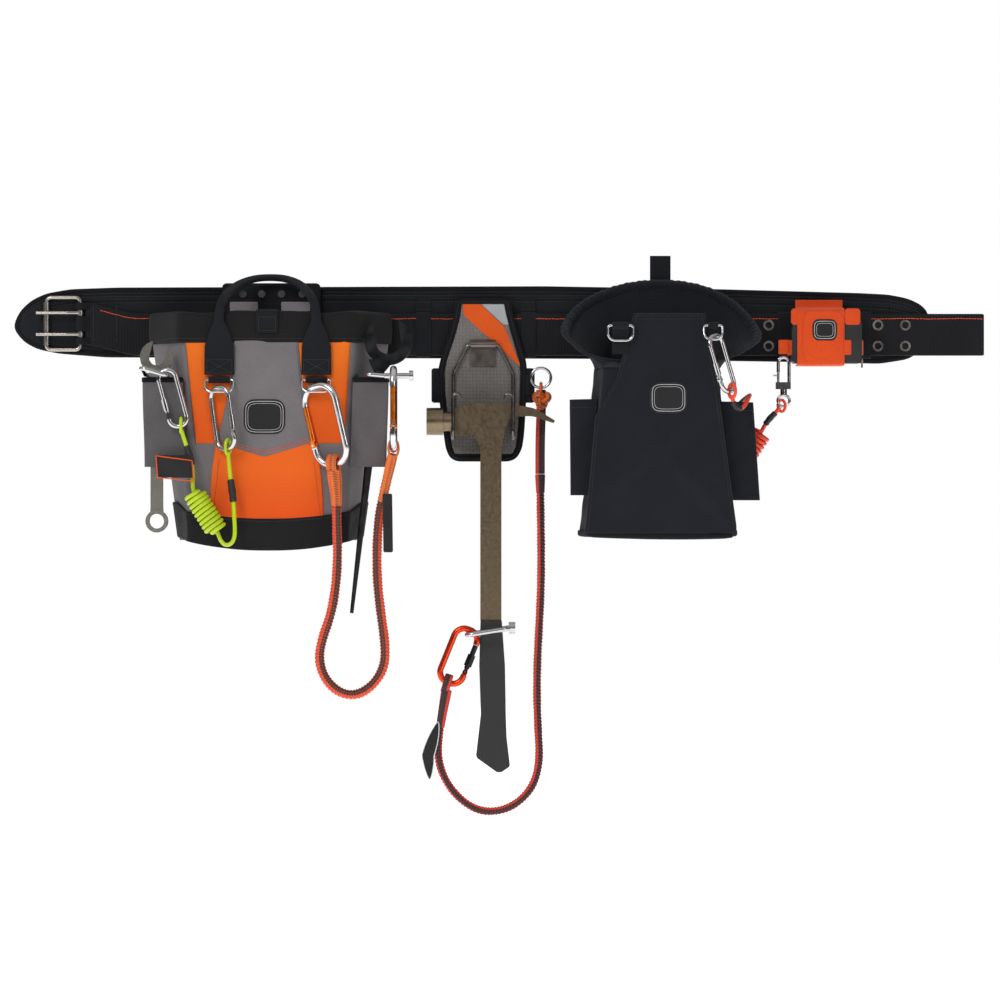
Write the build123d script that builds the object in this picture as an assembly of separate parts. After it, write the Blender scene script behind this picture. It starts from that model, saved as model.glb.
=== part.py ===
from build123d import *
import math
import os

# A padded tool belt with a tool pouch, a hammer holster, a bolt bag and a tape trap.
# Millimetres. X runs along the belt, Y goes into the wearer's back, Z is up.
# The origin is the middle of the pad's back face.

# ---- driving dimensions -------------------------------------------------------------
# belt
PAD_LEFT, PAD_RIGHT = -552.0, 552.0
PAD_TOP, PAD_BOTTOM = 41.5, -43.0
PAD_THICK = 10.0
WEB_WIDTH = 50.8
WEB_THICK = 3.0
WEB_MID_Z = -13.4
WEB_BACK = -13.0
WEB_LEFT, WEB_BEND, WEB_RIGHT = -474.0, -365.0, 621.0
WEB_CLEAR = 0.5
KEEPER_X = (-58.0, 69.0)
KEEPER_WIDTH = 18.0
KEEPER_THICK = 1.4
GROMMET_X0, GROMMET_PITCH, GROMMET_COLUMNS = 360.0, 33.1, 6
GROMMET_ROW_PITCH = 25.4
GROMMET_OD, GROMMET_HOLE, GROMMET_FLANGE = 13.0, 8.0, 0.5
STRIP_THICK = 1.8
HANGER_THICK = 2.6
# buckle
BUCKLE_LENGTH, BUCKLE_HEIGHT, BUCKLE_WIRE = 41.0, 67.5, 4.5
FRAME_BEND = 6.0
ROLLER_OD, ROLLER_LENGTH = 8.0, 52.0
PRONG_PITCH, PRONG_WIRE, PRONG_OVERHANG = 26.0, 4.0, 12.0
SHAFT_CLEAR = 0.08
# pouch
POUCH_X = -243.0
POUCH_BACK_HALF, POUCH_FRONT_HALF = 146.0, 102.0
POUCH_FOOT_BACK_HALF, POUCH_FOOT_FRONT_HALF = 110.0, 94.0
POUCH_BACK_Y, POUCH_FRONT_Y, POUCH_FOOT_Y = -22.0, -100.0, -96.0
POUCH_MOUTH_Z, POUCH_BAND_Z, POUCH_FOOT_Z = -24.0, -222.0, -270.0
POUCH_WALL = 3.0
COLLAR_RISE, COLLAR_PROUD = 36.0, 4.0
RING_HALF_PITCH, RING_Z, RING_TILT = 58.0, -70.0, 32.0
RING_WIDTH, RING_HEIGHT, RING_WIRE = 34.0, 17.0, 3.2
STRAP_FOLD_Z = 24.0
LINK_WIRE = 5.0
SLEEVE_LEFT_X, SLEEVE_RIGHT_X = -393.0, -99.0
SLEEVE_BACK_Y, SLEEVE_FRONT_Y = -80.5, -106.0
SLEEVE_TOP_Z, SLEEVE_FOOT_Z = -70.0, -174.0
SLEEVE_WALL = 2.0
# tools
WRENCH_X, WRENCH_Y, WRENCH_HEAD_Z, WRENCH_RING_Z = -376.0, -98.0, -43.0, -239.0
WRENCH_HEAD_OD, WRENCH_RING_OD, WRENCH_JAW = 40.0, 27.0, 19.0
WRENCH_SHANK = 15.0
SPUD_Y = -97.0
SPUD_HEAD = (-99.0, -24.0)
SPUD_NECK = (-110.0, -59.0)
SPUD_TIP = (-143.0, -349.0)
SPUD_HEAD_OD, SPUD_JAW = 57.0, 30.0
# holster and hammer
HOLSTER_X = 14.0
PANEL_THICK, FACE_THICK, BRACKET_THICK = 3.6, 2.0, 3.0
CRADLE_WIRE = 4.0
CRADLE_REACH = 39.0
HEAD_TOP, HEAD_BOTTOM = -97.0, -137.0
HAMMER_X, HAMMER_Y = 23.5, -49.5
HEAD_THICK, POLL_OD = 25.0, 33.0
SHAFT_WIDTH, SHAFT_THICK, SHAFT_END_Z = 25.5, 16.0, -359.0
GRIP_THICK = 28.0
# bolt bag
BAG_X = 224.0
BAG_MOUTH_Z, BAG_FOOT_Z = -56.0, -258.0
BAG_BACK_Y, BAG_FRONT_Y = -22.0, -130.0
BAG_WALL = 2.5
RIM_DIA = 12.0
# tape
TAPE_X, TAPE_Z = 428.0, -17.0
TAPE_SIZE = (84.0, 40.0, 64.0)
TRAP_WEB = 2.0
# cords
COIL_CORD, COIL_OD = 5.0, 28.0
BUNGEE_DIA, LANYARD_DIA = 11.0, 9.5
LANYARD_STRAP_DIA = 7.0
CORD_GAP = 0.4
LINK_GAP = 0.3

NODES = {}


# ---- building blocks ----------------------------------------------------------------
def block(x, y, z):
    """Box between pairs of X, Y and Z."""
    centre = [(pair[0] + pair[1]) / 2 for pair in (x, y, z)]
    return Pos(*centre) * Box(*(abs(pair[1] - pair[0]) for pair in (x, y, z)))


def slab(points, radius, back, front):
    """Flat piece cut to an outline in X and Z, from depth back out to front."""
    face = make_face(FilletPolyline(*points, radius=radius, close=True))
    return extrude(Plane.XZ.offset(-back) * face, amount=back - front)


def rod(points, radius, dia, close=False):
    """Round bar bent along straight runs and arcs."""
    path = FilletPolyline(*points, radius=radius, close=close)
    return sweep(Plane(origin=path @ 0, z_dir=path % 0) * Circle(dia / 2), path=path)


def twisted_loop(points, radius, dia):
    """Closed bar whose corners are not in one plane, made of two halves that meet."""
    spots = [Vector(*p) for p in points]
    cut = len(spots) // 2
    start = (spots[-1] + spots[0]) / 2
    middle = (spots[cut - 1] + spots[cut]) / 2
    first = rod([start, *spots[:cut], middle], radius[:cut], dia)
    second = rod([middle, *spots[cut:], start], radius[cut:], dia)
    return first + second


def bar(start, end, dia):
    """Straight round bar between two points."""
    axis = Vector(*end) - Vector(*start)
    return extrude(Plane(origin=start, z_dir=axis) * Circle(dia / 2), amount=axis.length)


def tube(start, end, outer, inner):
    """Straight tube between two points."""
    axis = Vector(*end) - Vector(*start)
    ring = Circle(outer / 2) - Circle(inner / 2)
    return extrude(Plane(origin=start, z_dir=axis) * ring, amount=axis.length)


def ring_solid(lower, upper, z_low, z_high):
    """Solid between two plan outlines at two heights."""
    faces = [
        Plane.XY.offset(z) * make_face(Polyline(*outline, close=True))
        for outline, z in ((lower, z_low), (upper, z_high))
    ]
    return loft(faces, ruled=True)


def loop_around_webbing(x0, x1, top, bottom, plate_front):
    """Tunnel that holds the belt webbing: front plate, back strip and the two folds."""
    low = WEB_MID_Z - WEB_WIDTH / 2 - WEB_CLEAR - 1.2
    high = WEB_MID_Z + WEB_WIDTH / 2 + WEB_CLEAR + 1.2
    plate_back = WEB_BACK - WEB_THICK - GROMMET_FLANGE - WEB_CLEAR
    back_strip = WEB_BACK + GROMMET_FLANGE + WEB_CLEAR
    shape = block((x0, x1), (plate_back, plate_front), (min(bottom, low), max(top, high)))
    shape += block((x0, x1), (back_strip, back_strip + STRIP_THICK - 0.6), (low, high))
    for z in ((low - STRIP_THICK, low), (high, high + STRIP_THICK)):
        shape += block((x0, x1), (back_strip + STRIP_THICK - 0.6, plate_front), z)
    return shape


def cord(name, points, dia):
    """Plain tube along a cord's route, with arcs as large as the runs allow."""
    spots = [Vector(*p) for p in points]
    runs = [b - a for a, b in zip(spots, spots[1:])]
    radii = []
    for a, b in zip(runs, runs[1:]):
        half_turn = math.radians(a.get_angle(b)) / 2
        radii.append(0.45 * min(a.length, b.length) / math.tan(half_turn))
    path = FilletPolyline(*points, radius=radii)
    solid = sweep(Plane(origin=path @ 0, z_dir=path % 0) * Circle(dia / 2), path=path)
    print(f"{name}: length {path.length:.0f}, least radius {min(radii):.0f},",
          f"volume ratio {solid.volume / (math.pi * dia ** 2 / 4 * path.length):.4f}")
    NODES[name] = solid
    return path


def coil(start, end, outer):
    """One closed solid for a coil of cord."""
    return bar(start, end, outer)


def d_ring(width, height, wire, place):
    """D-ring hanging from its straight bar."""
    points = [(-width / 2, 0, 0), (width / 2, 0, 0), (width / 2, 0, -height), (-width / 2, 0, -height)]
    foot = min(height * 0.5, width * 0.45)
    head = wire * 1.1
    path = FilletPolyline(*points, radius=[head, head, foot, foot], close=True)
    ring = sweep(Plane(origin=path @ 0, z_dir=path % 0) * Circle(wire / 2), path=path)
    return place * ring


def carabiner(name, place, length, width, wire, sleeve=True):
    """Body and sprung gate of a carabiner; the gate is on its own -X side.

    The body is one bent bar with a tongue and pin at its lower gate end, and the gate
    has two cheeks bored for that pin.
    """
    half = (length - wire) / 2
    side = (width - wire) / 2
    bend = side * 0.9
    pin_z = -half + bend + wire * 0.9
    nose_z = half - bend - wire * 0.2
    stub_z = pin_z - wire / 2 - 0.6
    path = [(-side, 0, nose_z), (-side, 0, half), (side, 0, half), (side, 0, -half),
            (-side, 0, -half), (-side, 0, stub_z)]
    body = rod(path, bend, wire)
    tongue = wire * 0.2
    body += block((-side - wire * 0.4, -side + wire * 0.4), (-tongue, tongue), (stub_z - 1, pin_z))
    body += bar((-side, -tongue, pin_z), (-side, tongue, pin_z), wire * 0.8)
    body += bar((-side, -wire * 0.48, pin_z), (-side, wire * 0.48, pin_z), wire * 0.28)
    gate_foot = pin_z + wire / 2 + 0.6
    gate = bar((-side, 0, gate_foot), (-side, 0, nose_z - CORD_GAP), wire * 0.84)
    for face in (-1, 1):
        near, far = face * (tongue + 0.1), face * wire * 0.46
        gate += bar((-side, near, pin_z), (-side, far, pin_z), wire * 0.8)
        gate += block((-side - wire * 0.3, -side + wire * 0.3), (near, far * 0.86), (pin_z, gate_foot + 1))
    if sleeve:
        gate += bar((-side, 0, gate_foot + 3), (-side, 0, gate_foot + 3 + length * 0.19), wire * 1.24)
    gate -= bar((-side, -wire, pin_z), (-side, wire, pin_z), wire * 0.28 + 2 * SHAFT_CLEAR)
    pin = place * Location((-side, 0, pin_z))
    axis = (place * Location((0, 1, 0))).position - place.position
    print(f"{name} pin", [round(v, 3) for v in pin.position], "axis", [round(v, 4) for v in axis])
    return place * body, place * gate


def add_carabiner(name, held, size, lean=0.0, yaw=0.0, sleeve=True):
    """Hang a carabiner on the bar it holds and keep its body and gate as nodes."""
    NODES[name], NODES[name + "_gate"] = carabiner(name, hang(held, size, lean, yaw), *size, sleeve=sleeve)


def stand(x, y, z, lean=0.0, yaw=0.0):
    """Place of a piece: turned about its own length by yaw, then leant in the XZ plane."""
    return Pos(x, y, z) * Rot(0, lean, 0) * Rot(0, 0, yaw)


def hang(held, size, lean=0.0, yaw=0.0):
    """Place of a carabiner whose top bend hangs on a bar through (x, y, z, bar diameter)."""
    x, y, z, held_dia = held
    length, _, wire = size
    drop = (length - wire) / 2 - wire / 2 - held_dia / 2 - LINK_GAP
    tilt = math.radians(lean)
    return stand(x - drop * math.sin(tilt), y, z - drop * math.cos(tilt), lean, yaw)


# ---- belt ---------------------------------------------------------------------------
def belt():
    """Pad, webbing, keepers and grommets."""
    pad = [(PAD_LEFT, -3), (PAD_LEFT + 6, 15), (PAD_LEFT + 66, PAD_TOP), (89, PAD_TOP + 3.3),
           (494, PAD_TOP - 5.8), (PAD_RIGHT - 24, PAD_TOP - 10), (PAD_RIGHT, 11.5),
           (PAD_RIGHT - 12, -38), (PAD_RIGHT - 57, PAD_BOTTOM - 4), (143, PAD_BOTTOM + 1.3),
           (-443, PAD_BOTTOM + 2.5), (PAD_LEFT + 24, PAD_BOTTOM + 12)]
    radii = [12, 18, 40, 60, 40, 14, 16, 14, 40, 60, 40, 22]
    NODES["belt_pad"] = slab(pad, radii, 0, -PAD_THICK)
    half = WEB_WIDTH / 2
    mid = WEB_MID_Z
    fold = 2.0
    strap = [(WEB_LEFT + 6, half), (WEB_BEND, mid + half), (WEB_RIGHT, mid + half),
             (WEB_RIGHT, mid - half), (WEB_BEND, mid - half), (WEB_LEFT + 6, -half)]
    strap_radii = [0.5, 60, 1, 1, 60, 0.5]
    webbing = slab(strap, strap_radii, WEB_BACK, WEB_BACK - WEB_THICK)
    bar_y = WEB_BACK - WEB_THICK / 2
    bore = BUCKLE_WIRE + 2 * SHAFT_CLEAR
    slot = PRONG_WIRE * 1.5 + 1
    tabs = [(-half, -PRONG_PITCH / 2 - slot / 2), (-PRONG_PITCH / 2 + slot / 2, PRONG_PITCH / 2 - slot / 2),
            (PRONG_PITCH / 2 + slot / 2, half)]
    for low, high in tabs:
        webbing += bar((WEB_LEFT, bar_y, low), (WEB_LEFT, bar_y, high), bore + 2 * fold)
        webbing += block((WEB_LEFT, WEB_LEFT + 6), (WEB_BACK, WEB_BACK - WEB_THICK), (low, high))
    webbing -= bar((WEB_LEFT, bar_y, -half - 1), (WEB_LEFT, bar_y, half + 1), bore)
    grommets = []
    for column in range(GROMMET_COLUMNS):
        for row in (-0.5, 0.5):
            x = GROMMET_X0 + column * GROMMET_PITCH
            z = mid + row * GROMMET_ROW_PITCH - 1.1
            barrel = GROMMET_HOLE + 1.4
            front = WEB_BACK - WEB_THICK
            webbing -= bar((x, WEB_BACK + 1, z), (x, front - 1, z), barrel)
            eye = bar((x, WEB_BACK, z), (x, front, z), barrel)
            eye += bar((x, front, z), (x, front - GROMMET_FLANGE, z), GROMMET_OD)
            eye += bar((x, WEB_BACK, z), (x, WEB_BACK + GROMMET_FLANGE, z), GROMMET_OD)
            grommets.append(eye - bar((x, 0, z), (x, -30, z), GROMMET_HOLE))
    NODES["belt_webbing"] = webbing
    NODES["webbing_grommets"] = Compound(children=grommets)
    keepers = []
    for x in KEEPER_X:
        span = (x - KEEPER_WIDTH / 2, x + KEEPER_WIDTH / 2)
        high, low = mid + half + WEB_CLEAR, mid - half - WEB_CLEAR
        front = WEB_BACK - WEB_THICK - WEB_CLEAR
        loop = block(span, (front, front - KEEPER_THICK), (low - KEEPER_THICK, high + KEEPER_THICK))
        for z in ((high, high + KEEPER_THICK), (low - KEEPER_THICK, low)):
            loop += block(span, (-PAD_THICK, front), z)
        loop += block(span, (-PAD_THICK, -PAD_THICK - KEEPER_THICK), (high, high + 16))
        keepers.append(loop)
    NODES["webbing_keepers"] = Compound(children=keepers)


def buckle():
    """Wire frame with a roller and two prongs, folded over the webbing end."""
    bar_y = WEB_BACK - WEB_THICK / 2
    left = WEB_LEFT - BUCKLE_LENGTH
    half = (BUCKLE_HEIGHT - BUCKLE_WIRE) / 2
    corners = [(WEB_LEFT, bar_y, half), (left, bar_y, half), (left, bar_y, -half), (WEB_LEFT, bar_y, -half)]
    NODES["buckle_frame"] = rod(corners, FRAME_BEND, BUCKLE_WIRE, close=True)
    bore = BUCKLE_WIRE + 2 * SHAFT_CLEAR
    NODES["buckle_roller"] = tube((left, bar_y, -ROLLER_LENGTH / 2), (left, bar_y, ROLLER_LENGTH / 2),
                                  ROLLER_OD, bore)
    for name, z in (("prong_upper", PRONG_PITCH / 2), ("prong_lower", -PRONG_PITCH / 2)):
        over = bar_y - ROLLER_OD / 2 - PRONG_WIRE / 2 - 0.5
        high = PRONG_WIRE * 1.5
        eye = bar((WEB_LEFT, bar_y, z - high / 2), (WEB_LEFT, bar_y, z + high / 2), bore + 4)
        prong = rod([(WEB_LEFT - 2, bar_y - 3.4, z), (WEB_LEFT - 16, over, z),
                     (left - PRONG_OVERHANG, over, z)], 12, PRONG_WIRE)
        prong = prong + eye
        prong -= bar((WEB_LEFT, bar_y, z - high), (WEB_LEFT, bar_y, z + high), bore)
        NODES[name] = prong


# ---- pouch --------------------------------------------------------------------------
def pouch_plan(z, inset=0.0):
    """Plan outline of the pouch at height z, drawn in by inset."""
    t = (POUCH_MOUTH_Z - z) / (POUCH_MOUTH_Z - POUCH_FOOT_Z)
    back = POUCH_BACK_HALF + t * (POUCH_FOOT_BACK_HALF - POUCH_BACK_HALF) - inset * 1.5
    front = POUCH_FRONT_HALF + t * (POUCH_FOOT_FRONT_HALF - POUCH_FRONT_HALF) - inset
    face = POUCH_FRONT_Y + t * (POUCH_FOOT_Y - POUCH_FRONT_Y) + inset
    back_y = POUCH_BACK_Y - inset
    return [(POUCH_X - back, back_y), (POUCH_X + back, back_y), (POUCH_X + front, face), (POUCH_X - front, face)]


def pouch():
    """Soft pouch: hanger, shell, base cup, collar, sleeves, handle and closure strap."""
    shell = ring_solid(pouch_plan(POUCH_BAND_Z), pouch_plan(POUCH_MOUTH_Z), POUCH_BAND_Z, POUCH_MOUTH_Z)
    NODES["pouch_shell"] = shell - ring_solid(
        pouch_plan(POUCH_BAND_Z, POUCH_WALL), pouch_plan(POUCH_MOUTH_Z, POUCH_WALL), POUCH_BAND_Z, POUCH_MOUTH_Z)
    floor = POUCH_FOOT_Z + 5
    base = ring_solid(pouch_plan(POUCH_FOOT_Z), pouch_plan(POUCH_BAND_Z), POUCH_FOOT_Z, POUCH_BAND_Z)
    NODES["pouch_base"] = base - ring_solid(
        pouch_plan(floor, POUCH_WALL), pouch_plan(POUCH_BAND_Z, POUCH_WALL), floor, POUCH_BAND_Z)
    top = POUCH_MOUTH_Z + COLLAR_RISE
    proud = pouch_plan(POUCH_MOUTH_Z, -COLLAR_PROUD)
    proud = [(x, max(POUCH_FRONT_Y - COLLAR_PROUD, min(y, POUCH_BACK_Y))) for x, y in proud]
    collar = ring_solid(proud, proud, POUCH_MOUTH_Z, top)
    inner = pouch_plan(POUCH_MOUTH_Z, POUCH_WALL)
    NODES["pouch_collar"] = collar - ring_solid(inner, inner, POUCH_MOUTH_Z, top)

    left, right = POUCH_X - 59, POUCH_X + 60
    plate_front = WEB_BACK - WEB_THICK - GROMMET_FLANGE - WEB_CLEAR - HANGER_THICK
    hanger = loop_around_webbing(left, right, 49, -44, plate_front)
    for x0, x1 in ((left + 9, left + 44), (right - 48, right - 12)):
        hanger -= block((x0, x1), (-10, -30), (14.5, 26.5))
    NODES["pouch_hanger"] = hanger
    rivets = []
    for x in (-276.5, -254, -230, -205):
        rivets.append(bar((x, plate_front, 35.7), (x, plate_front - 1.8, 35.7), 9))

    strap_x = (POUCH_X - 14, POUCH_X + 12)
    face = POUCH_FRONT_Y - COLLAR_PROUD - 0.4
    strap = block(strap_x, (plate_front - 0.3, face - 2), (top + 0.4, top + 2.4))
    strap += block(strap_x, (face, face - 2), (-14, top + 2.4))
    fold_y = plate_front - 1.3
    strap += block(strap_x, (plate_front - 0.3, plate_front - 2.3), (top + 0.4, STRAP_FOLD_Z))
    strap += bar((strap_x[0], fold_y, STRAP_FOLD_Z), (strap_x[1], fold_y, STRAP_FOLD_Z), 2)
    NODES["closure_strap"] = strap

    reach = RING_HALF_PITCH
    half_arch = [(-reach, face - 5, -40), (-reach, face - 6, 26), (-reach + 12, -62, 44), (-reach + 38, -34, 50)]
    arch = [(POUCH_X + x, y, z) for x, y, z in half_arch]
    arch += [(POUCH_X - x, y, z) for x, y, z in reversed(half_arch)]
    handle = rod(arch, [14, 20, 14, 14, 20, 14], 9)
    rings = []
    eye_y = face - 1.4
    for x in (POUCH_X - RING_HALF_PITCH, POUCH_X + RING_HALF_PITCH):
        handle += block((x - 18, x + 18), (face, face - 2), (RING_Z + 3.4, POUCH_MOUTH_Z - 2))
        handle += block((x - 18, x + 18), (POUCH_FRONT_Y - 0.3, face), (RING_Z + 3.4, POUCH_MOUTH_Z - 2))
        handle += block((x - 6, x + 6), (face - 2, face - 6), (-46, -30))
        handle += bar((x - 13, eye_y, RING_Z), (x + 13, eye_y, RING_Z), RING_WIRE + 3.8)
        handle -= bar((x - 20, eye_y, RING_Z), (x + 20, eye_y, RING_Z), RING_WIRE + 0.4)
        rings.append(d_ring(RING_WIDTH, RING_HEIGHT, RING_WIRE, Pos(x, eye_y, RING_Z) * Rot(-RING_TILT, 0, 0)))
    NODES["pouch_handle"] = handle
    NODES["pouch_hardware"] = Compound(children=rings + rivets)
    tilt = math.radians(RING_TILT)
    ring_y, ring_z = eye_y - RING_HEIGHT * math.sin(tilt), RING_Z - RING_HEIGHT * math.cos(tilt)
    held = (POUCH_X - RING_HALF_PITCH, ring_y, ring_z, RING_WIRE)
    add_carabiner("pouch_carabiner", held, (80, 34, 6), lean=-8, yaw=142)
    held = (POUCH_X + RING_HALF_PITCH + 2, ring_y, ring_z, RING_WIRE + 1.4)
    add_carabiner("large_carabiner", held, (104, 52, 8.5), lean=-13, yaw=-31, sleeve=False)


def sleeve(outer_x, side):
    """Tool sleeve beside a gusset; side is -1 at the left and +1 at the right."""
    def plan(z, inset):
        left_rear, right_rear, right_corner, left_corner = pouch_plan(z)
        corner, rear = (right_corner, right_rear) if side > 0 else (left_corner, left_rear)
        slope = (rear[0] - corner[0]) / (rear[1] - corner[1])
        gap = side * (0.6 + inset * 1.2)
        near, far = SLEEVE_FRONT_Y + inset, SLEEVE_BACK_Y - inset
        at_near = corner[0] + max(slope * (near - corner[1]) * side, 0) * side + gap
        at_far = corner[0] + slope * (far - corner[1]) + gap
        x = outer_x - side * inset
        return [(at_near, near), (at_far, far), (x, far), (x, near)]
    outer = ring_solid(plan(SLEEVE_FOOT_Z, 0), plan(SLEEVE_TOP_Z, 0), SLEEVE_FOOT_Z, SLEEVE_TOP_Z)
    return outer - ring_solid(plan(SLEEVE_FOOT_Z, SLEEVE_WALL), plan(SLEEVE_TOP_Z, SLEEVE_WALL),
                              SLEEVE_FOOT_Z, SLEEVE_TOP_Z)


# ---- tools in the pouch -------------------------------------------------------------
def wrench():
    """Combination wrench with its tether loop."""
    x, y = WRENCH_X, WRENCH_Y
    head = bar((x, y + 4.5, WRENCH_HEAD_Z), (x, y - 4.5, WRENCH_HEAD_Z), WRENCH_HEAD_OD)
    jaw = Pos(x, y, WRENCH_HEAD_Z) * Rot(0, 15, 0) * (
        Pos(0, 0, 14) * Box(WRENCH_JAW, 12, 28))
    jaw += bar((x, y + 6, WRENCH_HEAD_Z), (x, y - 6, WRENCH_HEAD_Z), WRENCH_JAW)
    shank = slab([(x - 10, WRENCH_HEAD_Z - 14), (x + 10, WRENCH_HEAD_Z - 14),
                  (x + WRENCH_SHANK / 2, WRENCH_HEAD_Z - 30), (x + WRENCH_SHANK / 2, WRENCH_RING_Z + 18),
                  (x + 8, WRENCH_RING_Z + 8), (x - 8, WRENCH_RING_Z + 8),
                  (x - WRENCH_SHANK / 2, WRENCH_RING_Z + 18), (x - WRENCH_SHANK / 2, WRENCH_HEAD_Z - 30)],
                 [1, 1, 12, 12, 1, 1, 12, 12], y + 3.2, y - 3.2)
    ring = bar((x, y + 5, WRENCH_RING_Z), (x, y - 5, WRENCH_RING_Z), WRENCH_RING_OD)
    tool = head - jaw + shank + ring
    NODES["combination_wrench"] = tool - bar(
        (x, y + 9, WRENCH_RING_Z), (x, y - 9, WRENCH_RING_Z), WRENCH_RING_OD * 0.65)
    front = SLEEVE_FRONT_Y - 19
    z = SLEEVE_TOP_Z + 3.2
    side_x = x + WRENCH_SHANK / 2 + 5.1
    loop = [(x - 14.5, y + 8.2, z + 3), (side_x, y + 8.2, z + 1.6), (side_x, front, z + 1.6), (x - 18, front, z + 11)]
    NODES["wrench_shackle"] = twisted_loop(loop, [4, 4, 5, 5], LINK_WIRE)
    held = (side_x, front + 9.5, z + 1.6, LINK_WIRE)
    add_carabiner("wrench_carabiner", held, (74, 27, 6), lean=-15)


def spud():
    """Structural spud wrench with its tether shackle."""
    y = SPUD_Y
    head = bar((SPUD_HEAD[0], y + 6, SPUD_HEAD[1]), (SPUD_HEAD[0], y - 6, SPUD_HEAD[1]), SPUD_HEAD_OD)
    jaw = Pos(SPUD_HEAD[0], y, SPUD_HEAD[1]) * Rot(0, -8, 0) * (
        Pos(0, 0, 18) * Box(SPUD_JAW, 16, 36) + Rot(90, 0, 0) * Cylinder(SPUD_JAW / 2, 16))
    neck, tip = Vector(SPUD_NECK[0], y, SPUD_NECK[1]), Vector(SPUD_TIP[0], y, SPUD_TIP[1])
    plane = Plane(origin=neck, z_dir=tip - neck)
    reach = (tip - neck).length
    tail = loft([plane * Circle(6.5), plane.offset(reach) * Circle(2.2)])
    down = (neck - tip).normalized()
    start = neck + down * 14
    web = slab([(start.X - 15, start.Z), (start.X + 17, start.Z - 1), (neck.X + 6.5, neck.Z - 1.5),
                (neck.X - 6.5, neck.Z - 1.5)], [1, 1, 3, 3], y + 5, y - 5)
    NODES["spud_wrench"] = head - jaw + web + tail
    front = SLEEVE_FRONT_Y - 10
    side_x, pin_z, pin_dia = SPUD_NECK[0] + 9.7, -65.6, 7
    loop = [(-125, y + 12.5, -62), (side_x, y + 12.5, pin_z), (side_x, front, pin_z), (-124, front, pin_z + 2)]
    shackle = twisted_loop(loop, [5, 5, 5, 5], 5.5)
    shackle += bar((side_x - 3, front, pin_z), (-72, front, pin_z), pin_dia)
    shackle += bar((-74, front, pin_z), (-69, front, pin_z), 13)
    NODES["spud_shackle"] = shackle
    add_carabiner("spud_carabiner", (-92.6, front, pin_z, pin_dia), (104, 50, 8.5), yaw=90, sleeve=False)


# ---- holster and hammer -------------------------------------------------------------
def holster():
    """Padded holster panel, its face, the cradle bracket and the side ring."""
    plate_front = WEB_BACK - WEB_THICK - GROMMET_FLANGE - WEB_CLEAR - HANGER_THICK
    x = HOLSTER_X
    top = 28.5
    outline = [(x - 33, top), (x + 32.5, top), (x + 52, -46.5), (x + 50, -125), (x + 41, -165),
               (x - 42, -166), (x - 47, -137), (x - 54.5, -52.6)]
    panel = slab(outline, [5, 5, 14, 14, 10, 10, 14, 14], plate_front, plate_front - PANEL_THICK)
    panel += loop_around_webbing(x - 33, x + 32.5, 20, -44, plate_front)
    for side, reach in ((-1, 62.5), (1, 63)):
        wing = slab([(x + side * 49, -54), (x + side * reach, -54), (x + side * reach, -93), (x + side * 46, -97)],
                    3, plate_front, plate_front - PANEL_THICK)
        panel += wing
    NODES["holster_panel"] = panel
    face_back = plate_front - PANEL_THICK
    inner = [(x - 25, top - 6), (x + 24, top - 6), (x + 44, -50), (x + 42, -122), (x + 34, -158),
             (x - 34, -159), (x - 40, -134), (x - 46, -55)]
    face_front = face_back - FACE_THICK
    NODES["holster_face"] = slab(inner, [4, 4, 12, 12, 8, 8, 12, 12], face_back, face_front)
    wire_y = face_front - BRACKET_THICK
    pivot_z = -26.0
    bore = CRADLE_WIRE + 2 * SHAFT_CLEAR
    bracket = block((x - 15, x + 15), (face_front, face_front - 2), (pivot_z - 26, pivot_z + 6))
    bracket += block((x - 15, x + 15), (face_front, wire_y), (pivot_z - 4, pivot_z + 4))
    bracket += bar((x - 15, wire_y, pivot_z), (x + 15, wire_y, pivot_z), CRADLE_WIRE + 5)
    bracket -= block((x - 20, x + 20), (face_front, 0), (-90, 20))
    bracket -= bar((x - 20, wire_y, pivot_z), (x + 20, wire_y, pivot_z), bore)
    bracket += bar((x, face_front - 2, pivot_z - 17), (x, face_front - 4, pivot_z - 17), 9)
    NODES["cradle_bracket"] = bracket
    print("cradle pivot", x, wire_y, pivot_z)
    near, far = wire_y, wire_y - CRADLE_REACH
    foot = HEAD_BOTTOM - CRADLE_WIRE / 2 - 0.3
    half, low = 18.5, 36.0
    path = [(x - 26.7, far, -92), (x - 31.5, far, -77), (x - low, far, -90), (x - low, far, foot),
            (x - low, near, foot), (x - low, near, -61), (x - half, near, pivot_z), (x + half, near, pivot_z),
            (x + low, near, -61), (x + low, near, foot), (x + low, far, foot), (x + low, far, -90),
            (x + 31.5, far, -77), (x + 26.7, far, -92)]
    NODES["wire_cradle"] = rod(path, [4, 5, 9, 9, 14, 5, 5, 14, 9, 9, 5, 4], CRADLE_WIRE)
    ring_wire = 3.6
    ring_y = plate_front - PANEL_THICK - ring_wire / 2 - LINK_GAP
    NODES["holster_ring"] = Pos(x + 70, ring_y, -66) * Rot(90, 0, 0) * Torus(12, ring_wire / 2)


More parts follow.
